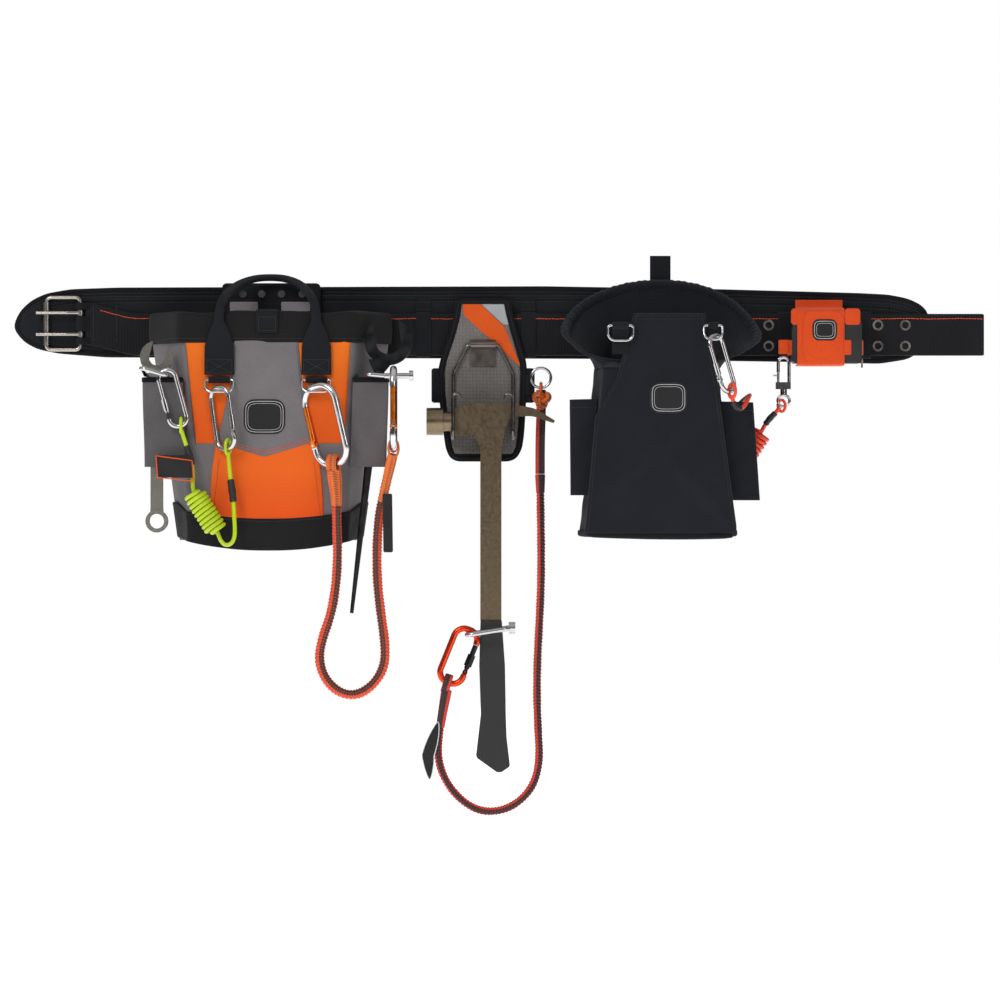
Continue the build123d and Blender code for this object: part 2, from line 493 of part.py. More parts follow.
def hammer():
    """Framing hammer: one-piece head and shaft, rubber grip, tether shackle."""
    x, y = HAMMER_X, HAMMER_Y
    back, front = y + HEAD_THICK / 2, y - HEAD_THICK / 2
    poll_z = (HEAD_TOP + HEAD_BOTTOM) / 2 - 2
    poll = bar((-54, y, poll_z), (-34, y, poll_z), POLL_OD)
    poll += bar((-35, y, poll_z), (-22, y, poll_z), POLL_OD * 0.72)
    poll -= block((-55, -51), (y - 3, y + 3), (poll_z - 9, poll_z + 9))
    cheek = slab([(-24, -104), (-2, HEAD_TOP), (44, HEAD_TOP), (58, -100), (56, -113), (44, -116),
                  (x + 12.75, -150), (x - 12.75, -150), (3, HEAD_BOTTOM + 2), (-25, HEAD_BOTTOM)],
                 [1, 10, 10, 1, 1, 8, 1, 1, 8, 1], back - 3, front + 3)
    claw = slab([(50, -98.5), (76, -103), (101, -118), (99, -121), (74, -112.5), (50, -113)],
                [1, 30, 1, 1, 30, 1], back - 4, front + 4)
    shaft = block((x - SHAFT_WIDTH / 2, x + SHAFT_WIDTH / 2), (y - SHAFT_THICK / 2, y + SHAFT_THICK / 2),
                  (-148, SHAFT_END_Z))
    NODES["hammer_body"] = poll + cheek + claw + shaft
    grip = slab([(x - 12.5, SHAFT_END_Z), (x + 13.2, SHAFT_END_Z), (x + 17, -413), (x + 18, -471), (x + 19, -500),
                 (x + 23, -534), (x + 10, -543), (x - 18, -523), (x - 12, -471), (x - 14, -413)],
                [1, 1, 20, 20, 20, 4, 8, 6, 20, 20], y + GRIP_THICK / 2, y - GRIP_THICK / 2)
    NODES["hammer_grip"] = grip
    loop = [(-5, y + 18, -376), (44, y + 18, -368), (44, y - 31, -368), (-5, y - 31, -376)]
    NODES["hammer_shackle"] = rod(loop, [7, 7, 7, 7], 6, close=True) + bar(
        (45, y, -368), (53, y, -368), 15)
    add_carabiner("hammer_carabiner", (-5, y - 19.5, -376, 6), (76, 36, 7.5), lean=22, yaw=180)


# ---- bolt bag -----------------------------------------------------------------------
def bag_plan(z, inset=0.0):
    """Plan outline of the bolt bag at height z: narrower at its back."""
    t = (BAG_MOUTH_Z - z) / (BAG_MOUTH_Z - BAG_FOOT_Z)
    left = BAG_X - 76 - 18 * t + inset
    right = BAG_X + 74 + 22 * t - inset
    front = BAG_FRONT_Y + inset
    back = BAG_BACK_Y - inset
    tuck = 14 + 10 * t
    return [(left + tuck, back), (right - tuck, back), (right, back - 45), (right - 10, front),
            (left + 10, front), (left, back - 45)]


def bag():
    """Canvas bolt bag on its belt tunnel, with a rolled rim, yoke and side pockets."""
    plate_front = WEB_BACK - WEB_THICK - GROMMET_FLANGE - WEB_CLEAR - HANGER_THICK
    x = BAG_X
    hanger = loop_around_webbing(x - 55, x + 55, 46, -46, plate_front)
    hanger += block((x - 8, x + 17), (plate_front + HANGER_THICK, plate_front), (40, 83))
    NODES["bag_hanger"] = hanger
    shell = ring_solid(bag_plan(BAG_FOOT_Z), bag_plan(BAG_MOUTH_Z), BAG_FOOT_Z, BAG_MOUTH_Z)
    floor = BAG_FOOT_Z + BAG_WALL
    shell -= ring_solid(bag_plan(floor, BAG_WALL), bag_plan(BAG_MOUTH_Z, BAG_WALL), floor, BAG_MOUTH_Z)
    rim_z = BAG_MOUTH_Z + RIM_DIA / 2
    back_y = plate_front - RIM_DIA / 2 - 0.3
    rim = [(x - 34, back_y, 45), (x + 30, back_y, 47), (x + 84, back_y, 30), (x + 122, back_y - 24, -8),
           (x + 120, -84, -26), (x + 72, BAG_FRONT_Y + 10, rim_z), (x - 74, BAG_FRONT_Y + 10, rim_z),
           (x - 112, -84, -20), (x - 110, back_y - 22, 0), (x - 84, back_y, 26)]
    NODES["bag_rim"] = twisted_loop(rim, [20, 20, 20, 20, 16, 16, 16, 16, 20, 20], RIM_DIA)
    yoke = slab([(x - 30, 9), (x + 55, 6), (x + 66, BAG_MOUTH_Z - 20), (x - 46, BAG_MOUTH_Z - 20)],
                [4, 4, 4, 4], BAG_FRONT_Y - 0.3, BAG_FRONT_Y - 0.3 - BAG_WALL)
    NODES["bag_shell"] = Compound(children=[shell, yoke])
    pockets = []
    for side, near, high, low, far_top, far_low in (
            (-1, 0.0, -93, -208, 106, 105), (1, 0.0, -96, -214, 118, 123)):
        def plan(z, inset):
            outline = bag_plan(z)
            wall = outline[2] if side > 0 else outline[5]
            front = outline[3] if side > 0 else outline[4]
            t = (high - z) / (high - low)
            out = x + side * (far_top + t * (far_low - far_top)) - side * inset
            gap = side * (0.6 + inset)
            slope = (front[0] - wall[0]) / (front[1] - wall[1])
            back_y, front_y = wall[1] - 4 - inset, front[1] + 14 + inset
            return [(wall[0] + slope * (back_y - wall[1]) + gap, back_y),
                    (wall[0] + slope * (front_y - wall[1]) + gap, front_y),
                    (out, front_y + 4), (out, back_y - 4)]
        solid = ring_solid(plan(low, 0), plan(high, 0), low, high)
        solid -= ring_solid(plan(low + 2, 2), plan(high, 2), low + 2, high)
        pockets.append(solid)
    NODES["bag_pockets"] = Compound(children=pockets)
    rings, tabs = [], []
    face = BAG_FRONT_Y - 0.3 - BAG_WALL
    for ring_x, width, tilt in ((x - 46, 30, 0), (x + 64, 22, -20)):
        tab_y = face - 5
        rings.append(d_ring(width, 18, 3.2, Pos(ring_x, tab_y, -6) * Rot(tilt, 0, 0)))
        tab = block((ring_x - width / 2 + 5, ring_x + width / 2 - 5), (face, face - 1.5), (-40, -2))
        tab += bar((ring_x - width / 2 + 5, tab_y, -6), (ring_x + width / 2 - 5, tab_y, -6), 7)
        tab += block((ring_x - width / 2 + 5, ring_x + width / 2 - 5), (face, tab_y), (-6, -2.6))
        tab -= bar((ring_x - width, tab_y, -6), (ring_x + width, tab_y, -6), 3.2 + 2 * SHAFT_CLEAR)
        tabs.append(tab)
    NODES["bag_ring_tabs"] = Compound(children=tabs)
    NODES["bag_ring_free"], held_ring = rings
    tilt = math.radians(20)
    held = (x + 66, tab_y - 18 * math.sin(tilt), -6 - 18 * math.cos(tilt), 3.2)
    add_carabiner("bag_carabiner", held, (74, 30, 5.5), lean=-16, yaw=50)
    NODES["bag_carabiner"] = Compound(children=[NODES["bag_carabiner"], held_ring])


# ---- tape ---------------------------------------------------------------------------
def tape():
    """Tape measure in its harness, the blade and the belt backing."""
    x, z = TAPE_X, TAPE_Z
    plate_front = WEB_BACK - WEB_THICK - GROMMET_FLANGE - WEB_CLEAR - HANGER_THICK
    wide, deep, tall = TAPE_SIZE
    back = plate_front - TRAP_WEB - 0.4
    front = back - deep
    case = slab([(x - wide / 2, z - tall / 2), (x + wide / 2, z - tall / 2), (x + wide / 2, z + tall / 2),
                 (x - wide / 2, z + tall / 2)], [4, 4, 20, 26], back, front)
    blade_y = (back - 8, front + 8)
    slot_z = (z - tall / 2 + 3, z - tall / 2 + 6)
    case -= block((x - wide / 2 + 5, x + wide / 2 + 1), blade_y, slot_z)
    NODES["tape_measure"] = case
    thin = (slot_z[0] + 1, slot_z[0] + 2)
    blade = block((x - wide / 2 + 8, x + wide / 2 + 1.6), (blade_y[0] - 1, blade_y[1] + 1), thin)
    blade += block((x + wide / 2 + 0.6, x + wide / 2 + 1.8), (blade_y[0] - 3, blade_y[1] + 3), (thin[0] - 9, thin[1]))
    NODES["tape_blade"] = blade
    gap = 0.4
    upright = block((x - 36, x + 21), (plate_front, front - gap - TRAP_WEB),
                    (z - tall / 2 - gap - TRAP_WEB, z + tall / 2 + gap + TRAP_WEB + 11))
    level = block((x - wide / 2 - gap - TRAP_WEB, x + wide / 2 - 2), (plate_front, front - gap - TRAP_WEB),
                  (z - 22, z - 4))
    inside = block((x - wide / 2 - gap, x + wide / 2 + 5), (back + gap, front - gap),
                   (z - tall / 2 - gap, z + tall / 2 + gap))
    backing = loop_around_webbing(x - 57, x + 56, 14, -42, plate_front)
    left = x - wide / 2 - gap - TRAP_WEB
    loop_x = (left - 10.5, left - 3.5)
    loop = block((left - 10.5, left), (-51, -41), (z - 13, z - 11))
    loop += block(loop_x, (-51, -41), (z - 30, z - 28.5))
    loop += block(loop_x, (-51, -49.5), (z - 30, z - 11)) + block(loop_x, (-42.5, -41), (z - 30, z - 11))
    NODES["tape_trap"] = Compound(children=[upright + level - inside + loop, backing])


def snap():
    """Swivel snap hook with a sliding trigger, hanging at the tape trap."""
    x, y = 376.0, -46.0
    nose_z, block_z, travel = -60.0, -71.5, 6.0
    side_x = x - 6
    hook = rod([(side_x, y, nose_z), (side_x, y, -41.5), (x + 7, y, -41.5), (x + 7, y, block_z - 0.5)], 6, 4)
    hook += block((x - 9, x + 9), (y + 3, y - 3), (block_z - 8.5, block_z))
    hook += bar((x + 0.5, y, block_z - 8.5), (x + 0.5, y, -87), 8)
    hook += Pos(x + 0.5, y, -94) * Rot(90, 0, 0) * Torus(7, 1.8)
    rod_dia = 3.0
    hook -= bar((side_x, y, block_z + 1), (side_x, y, block_z - 9), rod_dia + 2 * SHAFT_CLEAR)
    NODES["snap_hook"] = hook
    knob_z = block_z + travel + 1.8
    trigger = bar((side_x, y, nose_z - CORD_GAP), (side_x, y, block_z - 2), rod_dia)
    NODES["snap_trigger"] = trigger + bar((side_x, y, knob_z), (side_x - 6, y, knob_z), 2.4)


# ---- cords --------------------------------------------------------------------------
def tethers():
    """Coiled and bungee tethers; each route is set by hand."""
    cord("lime_lead_upper", [(-345.8, -115.5, -130), (-342, -116, -142), (-337, -117, -156), (-333.2, -118, -170),
                             (-331.6, -119, -185), (-332.9, -120, -202.6)], COIL_CORD)
    NODES["lime_coil"] = coil((-332, -120, -204), (-302, -120, -252), COIL_OD)
    cord("lime_lead_lower", [(-301.2, -120, -253.2), (-299, -120, -261.5), (-293.5, -120, -267.5),
                             (-286.5, -120, -266.5), (-282, -120, -259), (-281.5, -119.8, -248),
                             (-282.6, -119.5, -233), (-283.4, -119, -216), (-285.5, -118, -199),
                             (-288, -117, -181), (-290, -116, -156.4)], COIL_CORD)
    cord("bungee_tether", [(-164, -116, -176.8), (-160.5, -117, -205), (-160.4, -118, -240), (-159, -118.5, -278),
                           (-161, -119, -315), (-167, -119, -350), (-178, -119, -380), (-182, -119, -405),
                           (-174, -119, -428), (-157, -119, -444), (-136, -119, -447), (-116, -118, -434),
                           (-103, -117, -412), (-102.5, -116, -385), (-107.5, -116, -350), (-112, -116, -312),
                           (-112.6, -116, -272), (-110, -116, -232), (-101, -116, -192), (-93, -116, -157.9)],
         BUNGEE_DIA)
    cord("lanyard_strap", [(84, -25.3, -80.3), (84.5, -26, -103), (83.4, -27, -130), (82.9, -28, -156),
                           (83, -28.2, -182)], LANYARD_STRAP_DIA)
    cord("lanyard_bungee", [(83, -28.2, -182.4), (83.6, -29, -226), (84.3, -30, -274), (84, -31, -320),
                            (82, -32, -362), (79.6, -33, -407), (79, -34, -451), (80.5, -36, -492), (82.5, -38, -527),
                            (76, -42, -556), (60, -46, -576), (38, -50, -588), (12, -55, -589), (-10, -60, -577),
                            (-28, -64, -557), (-39, -67, -532), (-40, -69, -505), (-36, -69, -477), (-29.5, -69, -441)],
         LANYARD_DIA)
    cord("red_lead_bag", [(310.5, -144, -88.8), (311, -144.2, -97.5), (315.5, -142, -104.5), (322, -135.5, -105),
                          (327, -127, -99.5), (331, -116, -92), (333, -102, -88.5), (334, -86, -88), (331, -69, -90),
                          (324, -53, -96), (315, -42, -108), (309, -36.5, -126), (306.5, -35, -148),
                          (305.8, -35.5, -168), (307, -37, -181), (312.5, -39, -187.5), (319.5, -41, -182),
                          (325.4, -42, -169.0)], COIL_CORD)
    NODES["red_coil"] = coil((326, -42, -168), (350, -42, -131), COIL_OD)
    cord("red_lead_tape", [(350.65, -42, -130.1), (355.3, -42.7, -121), (361.5, -43.7, -113.5), (367.3, -45, -108),
                           (371.8, -46, -102.1)], COIL_CORD)


def main():
    """Build every node and write it."""
    belt()
    buckle()
    pouch()
    NODES["tool_sleeves"] = Compound(children=[sleeve(SLEEVE_LEFT_X, -1), sleeve(SLEEVE_RIGHT_X, 1)])
    wrench()
    spud()
    holster()
    hammer()
    bag()
    tape()
    snap()
    tethers()
    os.makedirs("parts", exist_ok=True)
    for name, shape in NODES.items():
        export_step(shape, f"parts/{name}.step")
    print(len(NODES), "nodes")


main()
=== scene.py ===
"""Work belt with a tool pouch, hammer holster, bolt bag and tape holder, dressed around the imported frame.

Sizes inside the classes are millimetres; Shell.place turns them into metres.
"""
import logging
import math
from dataclasses import dataclass, field
from enum import Enum
from typing import Callable

import bpy
import numpy as np
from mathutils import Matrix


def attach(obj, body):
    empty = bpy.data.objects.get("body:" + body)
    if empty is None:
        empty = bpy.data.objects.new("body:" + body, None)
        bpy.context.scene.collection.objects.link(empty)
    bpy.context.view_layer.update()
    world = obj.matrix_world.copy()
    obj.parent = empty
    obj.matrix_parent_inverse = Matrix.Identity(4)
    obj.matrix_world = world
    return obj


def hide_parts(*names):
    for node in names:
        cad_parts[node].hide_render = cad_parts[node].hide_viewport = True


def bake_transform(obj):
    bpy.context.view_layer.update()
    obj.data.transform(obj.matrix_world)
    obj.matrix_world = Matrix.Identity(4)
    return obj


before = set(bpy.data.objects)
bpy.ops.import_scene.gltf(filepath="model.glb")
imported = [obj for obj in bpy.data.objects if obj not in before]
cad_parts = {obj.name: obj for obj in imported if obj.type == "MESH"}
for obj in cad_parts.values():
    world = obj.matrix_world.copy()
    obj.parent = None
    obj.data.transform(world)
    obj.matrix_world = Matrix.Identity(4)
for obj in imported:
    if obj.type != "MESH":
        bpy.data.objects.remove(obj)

log = logging.getLogger("work_belt")
Array = np.ndarray
Colour = tuple[float, float, float]
Point = tuple[float, float, float]
Depth = Callable[[Array, Array], Array]


# ---- mesh kit -----------------------------------------------------------------------
@dataclass
class Shell:
    """Closed surface in millimetres with one UV pair for each face corner."""

    points: Array
    quads: Array
    tris: Array
    quad_uv: Array
    tri_uv: Array

    @staticmethod
    def join(parts: list["Shell"]) -> "Shell":
        """Puts several shells into one.

        Args:
            parts: shells that stay separate surfaces in the result.

        Returns:
            One shell that holds them all.
        """
        starts = np.cumsum([0] + [len(p.points) for p in parts[:-1]])
        return Shell(
            np.concatenate([p.points for p in parts]),
            np.concatenate([p.quads + s for p, s in zip(parts, starts)]),
            np.concatenate([p.tris + s for p, s in zip(parts, starts)]),
            np.concatenate([p.quad_uv for p in parts]),
            np.concatenate([p.tri_uv for p in parts]),
        )

    def outward(self) -> "Shell":
        """Turns every face outwards: the signed volume, a sum over faces of a . (b x c) / 6, is made positive."""
        q, t = self.points[self.quads], self.points[self.tris]
        middle = self.points.mean(0)
        q, t = q - middle, t - middle
        volume = np.einsum("ij,ij->i", q[:, 0], np.cross(q[:, 1], q[:, 2])).sum()
        volume += np.einsum("ij,ij->i", q[:, 0], np.cross(q[:, 2], q[:, 3])).sum()
        volume += np.einsum("ij,ij->i", t[:, 0], np.cross(t[:, 1], t[:, 2])).sum()
        if volume < 0:
            self.quads, self.tris = self.quads[:, ::-1].copy(), self.tris[:, ::-1].copy()
            self.quad_uv, self.tri_uv = self.quad_uv[:, ::-1].copy(), self.tri_uv[:, ::-1].copy()
        return self

    def place(self, name: str, finish: "Finish", body: str = "", slot: str = "",
              stands_for: tuple[str, ...] = ()) -> bpy.types.Object:
        """Makes the object, gives it its finish and ties it to the frame.

        Args:
            name: name of the piece.
            finish: what it is made of.
            body: body it rides on, or nothing where its transform is baked later.
            slot: not used.
            stands_for: frame nodes that it stands for.

        Returns:
            The new object, at the origin.
        """
        mesh = bpy.data.meshes.new(name)
        loops = np.concatenate([self.quads.ravel(), self.tris.ravel()]).astype(np.int32)
        sizes = np.concatenate([np.full(len(self.quads), 4), np.full(len(self.tris), 3)]).astype(np.int32)
        mesh.vertices.add(len(self.points))
        mesh.vertices.foreach_set("co", (self.points * 0.001).astype(np.float32).ravel())
        mesh.loops.add(len(loops))
        mesh.loops.foreach_set("vertex_index", loops)
        mesh.polygons.add(len(sizes))
        mesh.polygons.foreach_set("loop_start", np.concatenate([[0], np.cumsum(sizes)[:-1]]).astype(np.int32))
        mesh.polygons.foreach_set("loop_total", sizes)
        mesh.update(calc_edges=True)
        uv = mesh.uv_layers.new(name="along")
        uv.data.foreach_set("uv", np.concatenate([self.quad_uv.reshape(-1, 2), self.tri_uv.reshape(-1, 2)])
                            .astype(np.float32).ravel())
        mesh.polygons.foreach_set("use_smooth", np.ones(len(sizes), bool))
        mesh.update()
        piece = bpy.data.objects.new(name, mesh)
        bpy.context.scene.collection.objects.link(piece)
        piece.data.materials.append(finish.material())
        if body:
            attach(piece, body)
        if stands_for:
            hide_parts(*stands_for)
        log.info("%s: %d faces", name, len(sizes))
        return piece


def loft(rings: Array, round_trip: bool = False) -> Shell:
    """Surface through rings of points: point j of a ring joins point j of the next, and rings close on themselves.

    Args:
        rings: rings[i, j] is a point.
        round_trip: joins the last ring to the first; otherwise each end closes in a fan to its middle.

    Returns:
        The closed shell, with UV = (metres along the ring middles, share of the way round).
    """
    n, k = rings.shape[:2]
    middle = rings.mean(1)
    loop = np.concatenate([middle, middle[:1]]) if round_trip else middle
    along = np.concatenate([[0.0], np.cumsum(np.linalg.norm(np.diff(loop, axis=0), axis=1))]) / 1000
    i, j = np.meshgrid(np.arange(n if round_trip else n - 1), np.arange(k), indexing="ij")
    after, beside = (i + 1) % n, (j + 1) % k
    quads = np.stack([i * k + j, i * k + beside, after * k + beside, after * k + j], -1).reshape(-1, 4)
    u0, u1, v0, v1 = along[i], along[i + 1], j / k, (j + 1) / k
    quad_uv = np.stack([np.stack([u0, v0], -1), np.stack([u0, v1], -1), np.stack([u1, v1], -1),
                        np.stack([u1, v0], -1)], -2).reshape(-1, 4, 2)
    points = rings.reshape(-1, 3)
    tris, tri_uv = np.zeros((0, 3), int), np.zeros((0, 3, 2))
    if not round_trip:
        j = np.arange(k)
        first = np.stack([(j + 1) % k, j, np.full(k, n * k)], -1)
        last = np.stack([(n - 1) * k + j, (n - 1) * k + (j + 1) % k, np.full(k, n * k + 1)], -1)
        points = np.concatenate([points, middle[:1], middle[-1:]])
        tris = np.concatenate([first, last])
        share = np.stack([j / k, (j + 1) / k, (j + 0.5) / k], -1)
        ends = np.concatenate([np.zeros((k, 3)), np.full((k, 3), along[-1])])
        tri_uv = np.stack([ends, np.concatenate([share[:, [1, 0, 2]], share])], -1)
    return Shell(points, quads, tris, quad_uv, tri_uv).outward()


def unit(v: Array) -> Array:
    """Vectors made one long."""
    return v / np.maximum(np.linalg.norm(v, axis=-1, keepdims=True), 1e-9)


def axes_along(path: Array, side: Point, round_trip: bool = False) -> tuple[Array, Array, Array]:
    """Frames that turn as little as possible along a path.

    Args:
        path: stations, (n, 3).
        side: roughly the first frame's side direction.
        round_trip: whether the path closes; the left-over turn is then spread along it.

    Returns:
        Tangents, sides and the third directions, each (n, 3).
    """
    ahead = np.roll(path, -1, 0) - np.roll(path, 1, 0) if round_trip else np.gradient(path, axis=0)
    tangent = unit(ahead)
    sides = np.zeros_like(path)
    s = np.array(side, float)
    for i, t in enumerate(tangent):
        s = s - t * (s @ t)
        s = s / max(np.linalg.norm(s), 1e-9)
        sides[i] = s
    if round_trip:
        t = tangent[0]
        end = unit(sides[-1] - t * (sides[-1] @ t))
        angle = math.atan2(np.cross(end, sides[0]) @ t, end @ sides[0])
        turn = (angle * np.arange(len(path)) / len(path))[:, None]
        third = np.cross(tangent, sides)
        sides = np.cos(turn) * sides + np.sin(turn) * third
    return tangent, sides, np.cross(tangent, sides)


def oval(count: int = 24, power: float = 2.0) -> Array:
    """Outline of width and height 2: (cos^(2/p), sin^(2/p)) with their signs, round at power 2, nearly a box at 8."""
    a = np.linspace(0, 2 * math.pi, count, endpoint=False)
    c, s = np.cos(a), np.sin(a)
    return np.stack([np.sign(c) * np.abs(c) ** (2 / power), np.sign(s) * np.abs(s) ** (2 / power)], -1)


def sweep(path: Array, half_wide: Array | float, half_thick: Array | float, side: Point = (1, 0, 0),
          round_trip: bool = False, count: int = 20, power: float = 2.0) -> Shell:
    """Carries an oval along a path: point = station + wide * x * side + thick * y * third.

    Args:
        path: stations, (n, 3).
        half_wide: half the width, at each station or everywhere.
        half_thick: half the thickness, at each station or everywhere.
        side: direction of the width at the start.
        round_trip: whether the path closes.
        count: points round the oval.
        power: 2 for round, more for flat straps.

    Returns:
        The closed shell.
    """
    _, sides, third = axes_along(path, side, round_trip)
    shape = oval(count, power)
    wide = np.broadcast_to(np.asarray(half_wide, float), (len(path),))[:, None, None]
    thick = np.broadcast_to(np.asarray(half_thick, float), (len(path),))[:, None, None]
    rings = path[:, None] + wide * shape[None, :, :1] * sides[:, None] + thick * shape[None, :, 1:] * third[:, None]
    return loft(rings, round_trip)


def resampled(path: Array, step: float, round_trip: bool = False) -> Array:
    """The same path with even stations about step apart."""
    whole = np.concatenate([path, path[:1]]) if round_trip else path
    far = np.concatenate([[0.0], np.cumsum(np.linalg.norm(np.diff(whole, axis=0), axis=1))])
    count = max(int(round(far[-1] / step)), 4)
    at = np.linspace(0, far[-1], count + 1)
    even = np.stack([np.interp(at, far, whole[:, c]) for c in range(3)], -1)
    return even[:-1] if round_trip else even


def softened(points: list[Point] | Array, passes: int = 3, round_trip: bool = False, step: float = 2.0) -> Array:
    """Rounds a path's corners: each pass swaps every run for its points at a quarter and three quarters."""
    p = np.array(points, float)
    for _ in range(passes):
        q = np.roll(p, -1, 0) if round_trip else p[1:]
        start = p if round_trip else p[:-1]
        cut = np.stack([0.75 * start + 0.25 * q, 0.25 * start + 0.75 * q], 1).reshape(-1, 3)
        p = cut if round_trip else np.concatenate([p[:1], cut, p[-1:]])
    return resampled(p, step, round_trip)


def flat(y: float) -> Depth:
    """A surface at one depth."""
    return lambda x, z: np.full_like(x, y)


def ease(x: Array) -> Array:
    """Smooth step: 3 x^2 - 2 x^3 between 0 and 1."""
    x = np.clip(x, 0, 1)
    return x * x * (3 - 2 * x)


def stations(start: float, end: float, count: int) -> Array:
    """Stations from start to end, closer together near both."""
    t = np.linspace(0, 1, count)
    return start + (end - start) * (0.45 * t + 0.55 * (0.5 - 0.5 * np.cos(math.pi * t)))


def panel(along: Array, low: Array, high: Array, depth: Depth, thick: float, across: str = "z", edge: float = 3.0,
          rows: int = 24, corner: float = 0.0, crown: float = 0.0, both: bool = False) -> Shell:
    """Sewn panel on a surface: front = depth - thick * sqrt(1 - (1 - d / edge)^2) - crown * dome, d in from the edge.

    Args:
        along: stations on the main axis.
        low: lower limit on the other axis, at each station.
        high: upper limit on the other axis, at each station.
        depth: y of the surface that it lies on.
        thick: how far it stands off that surface.
        across: the main axis, x or z.
        edge: width of its rounded edge.
        rows: points across it.
        corner: radius of its corners.
        crown: extra height at the middle.
        both: whether the back is rounded like the front.

    Returns:
        The closed shell.
    """
    reach = np.minimum(along - along.min(), along.max() - along)
    if corner:
        short = np.clip(corner - reach, 0, corner)
        pull = corner - np.sqrt(np.maximum(corner ** 2 - short ** 2, 0))
        low, high = low + pull, high - pull
    w = stations(0, 1, rows)
    span = (high - low)[:, None]
    other = low[:, None] + span * w[None]
    main = np.repeat(along[:, None], rows, 1)
    inward = np.minimum(np.minimum(w, 1 - w)[None] * span, reach[:, None])
    rise = np.sqrt(1 - (1 - np.clip(inward / edge, 0, 1)) ** 2)
    dome = np.sin(math.pi * w)[None] * np.sin(math.pi * (along - along.min()) / np.ptp(along))[:, None]
    x, z = (other, main) if across == "z" else (main, other)
    base = depth(x, z)
    front = np.stack([x, base - thick * rise - crown * dome, z], -1)
    back = np.stack([x, base + (thick * rise if both else 0 * rise), z], -1)[:, 1:-1][:, ::-1]
    return loft(np.concatenate([front, back], 1))


def tiled(shape: Shell, centres: Array, axes: Array) -> Shell:
    """Copies of a small shell: point = centre + x * axis 0 + y * axis 1 + z * axis 2, for all copies at once."""
    n, k = len(centres), len(shape.points)
    points = centres[:, None] + np.einsum("kc,nca->nka", shape.points, axes)
    start = (np.arange(n) * k)[:, None, None]
    return Shell(points.reshape(-1, 3), (shape.quads[None] + start).reshape(-1, 4),
                 (shape.tris[None] + start).reshape(-1, 3), np.tile(shape.quad_uv, (n, 1, 1)),
                 np.tile(shape.tri_uv, (n, 1, 1)))


def stitches(path: Array, pitch: float = 3.2, long: float = 2.3, thread: float = 0.35, out: Point = (0, -1, 0),
             round_trip: bool = False) -> Shell:
    """Row of thread stitches: spindles of four rings laid along a path, one every pitch.

    Args:
        path: line of the seam on the cloth's surface.
        pitch: from one stitch to the next.
        long: length of a stitch.
        thread: its half thickness.
        out: direction away from the cloth.
        round_trip: whether the seam closes.

    Returns:
        One shell with all the stitches.
    """
    rings = np.array([[[t, r * math.cos(a), r * math.sin(a)] for a in np.linspace(0, 2 * math.pi, 5, endpoint=False)]
                      for t, r in ((-0.5, 0.35), (-0.25, 1.0), (0.25, 1.0), (0.5, 0.35))])
    at = resampled(path, pitch, round_trip)
    ahead = unit(np.gradient(at, axis=0))
    up = unit(np.array(out, float) - ahead * (ahead @ np.array(out, float))[:, None])
    axes = np.stack([ahead * long, up * thread, np.cross(ahead, up) * thread], 1)
    return tiled(loft(rings), at + up * thread * 0.3, axes)


def skin(corners: Callable[[Array], Array], z: Array, soften: int) -> Array:
    """Plan outline carried up through heights: an even walk round the corners, then each pass averages neighbours.

    Args:
        corners: gives the outline's corners, (m, ...heights, 2), for an array of heights.
        z: heights, (rings, points round).
        soften: passes that round the corners.

    Returns:
        Points, (rings, points round, 3).
    """
    m = len(corners(z[:1, :1]))
    k = z.shape[1]
    walk = np.arange(k) * m / k
    here = np.floor(walk).astype(int)
    part = walk - here
    c = corners(z)
    j = np.arange(k)
    xy = c[here, :, j].transpose(1, 0, 2) * (1 - part)[None, :, None]
    xy = xy + c[(here + 1) % m, :, j].transpose(1, 0, 2) * part[None, :, None]
    for _ in range(soften):
        xy = 0.25 * np.roll(xy, 1, 1) + 0.5 * xy + 0.25 * np.roll(xy, -1, 1)
    return np.concatenate([xy, z[..., None]], -1)


def waves(x: Array, z: Array, size: float, long: float = 40.0) -> Array:
    """Slack in cloth: three crossing sine waves of unlike lengths, added up."""
    a = np.sin(x / long * 6.3 + 0.8 * np.sin(z / long * 3.1)) * 0.5
    b = np.sin((x * 0.6 + z) / long * 4.1 + 1.3) * 0.35
    return size * (a + b + 0.25 * np.sin((z * 1.4 - x) / long * 7.7 + 0.4))


# ---- finishes -----------------------------------------------------------------------
class Weave(Enum):
    """How a cloth is woven."""

    CANVAS = "canvas"
    RIBBED = "ribbed"
    MESH = "mesh"
    FELT = "felt"


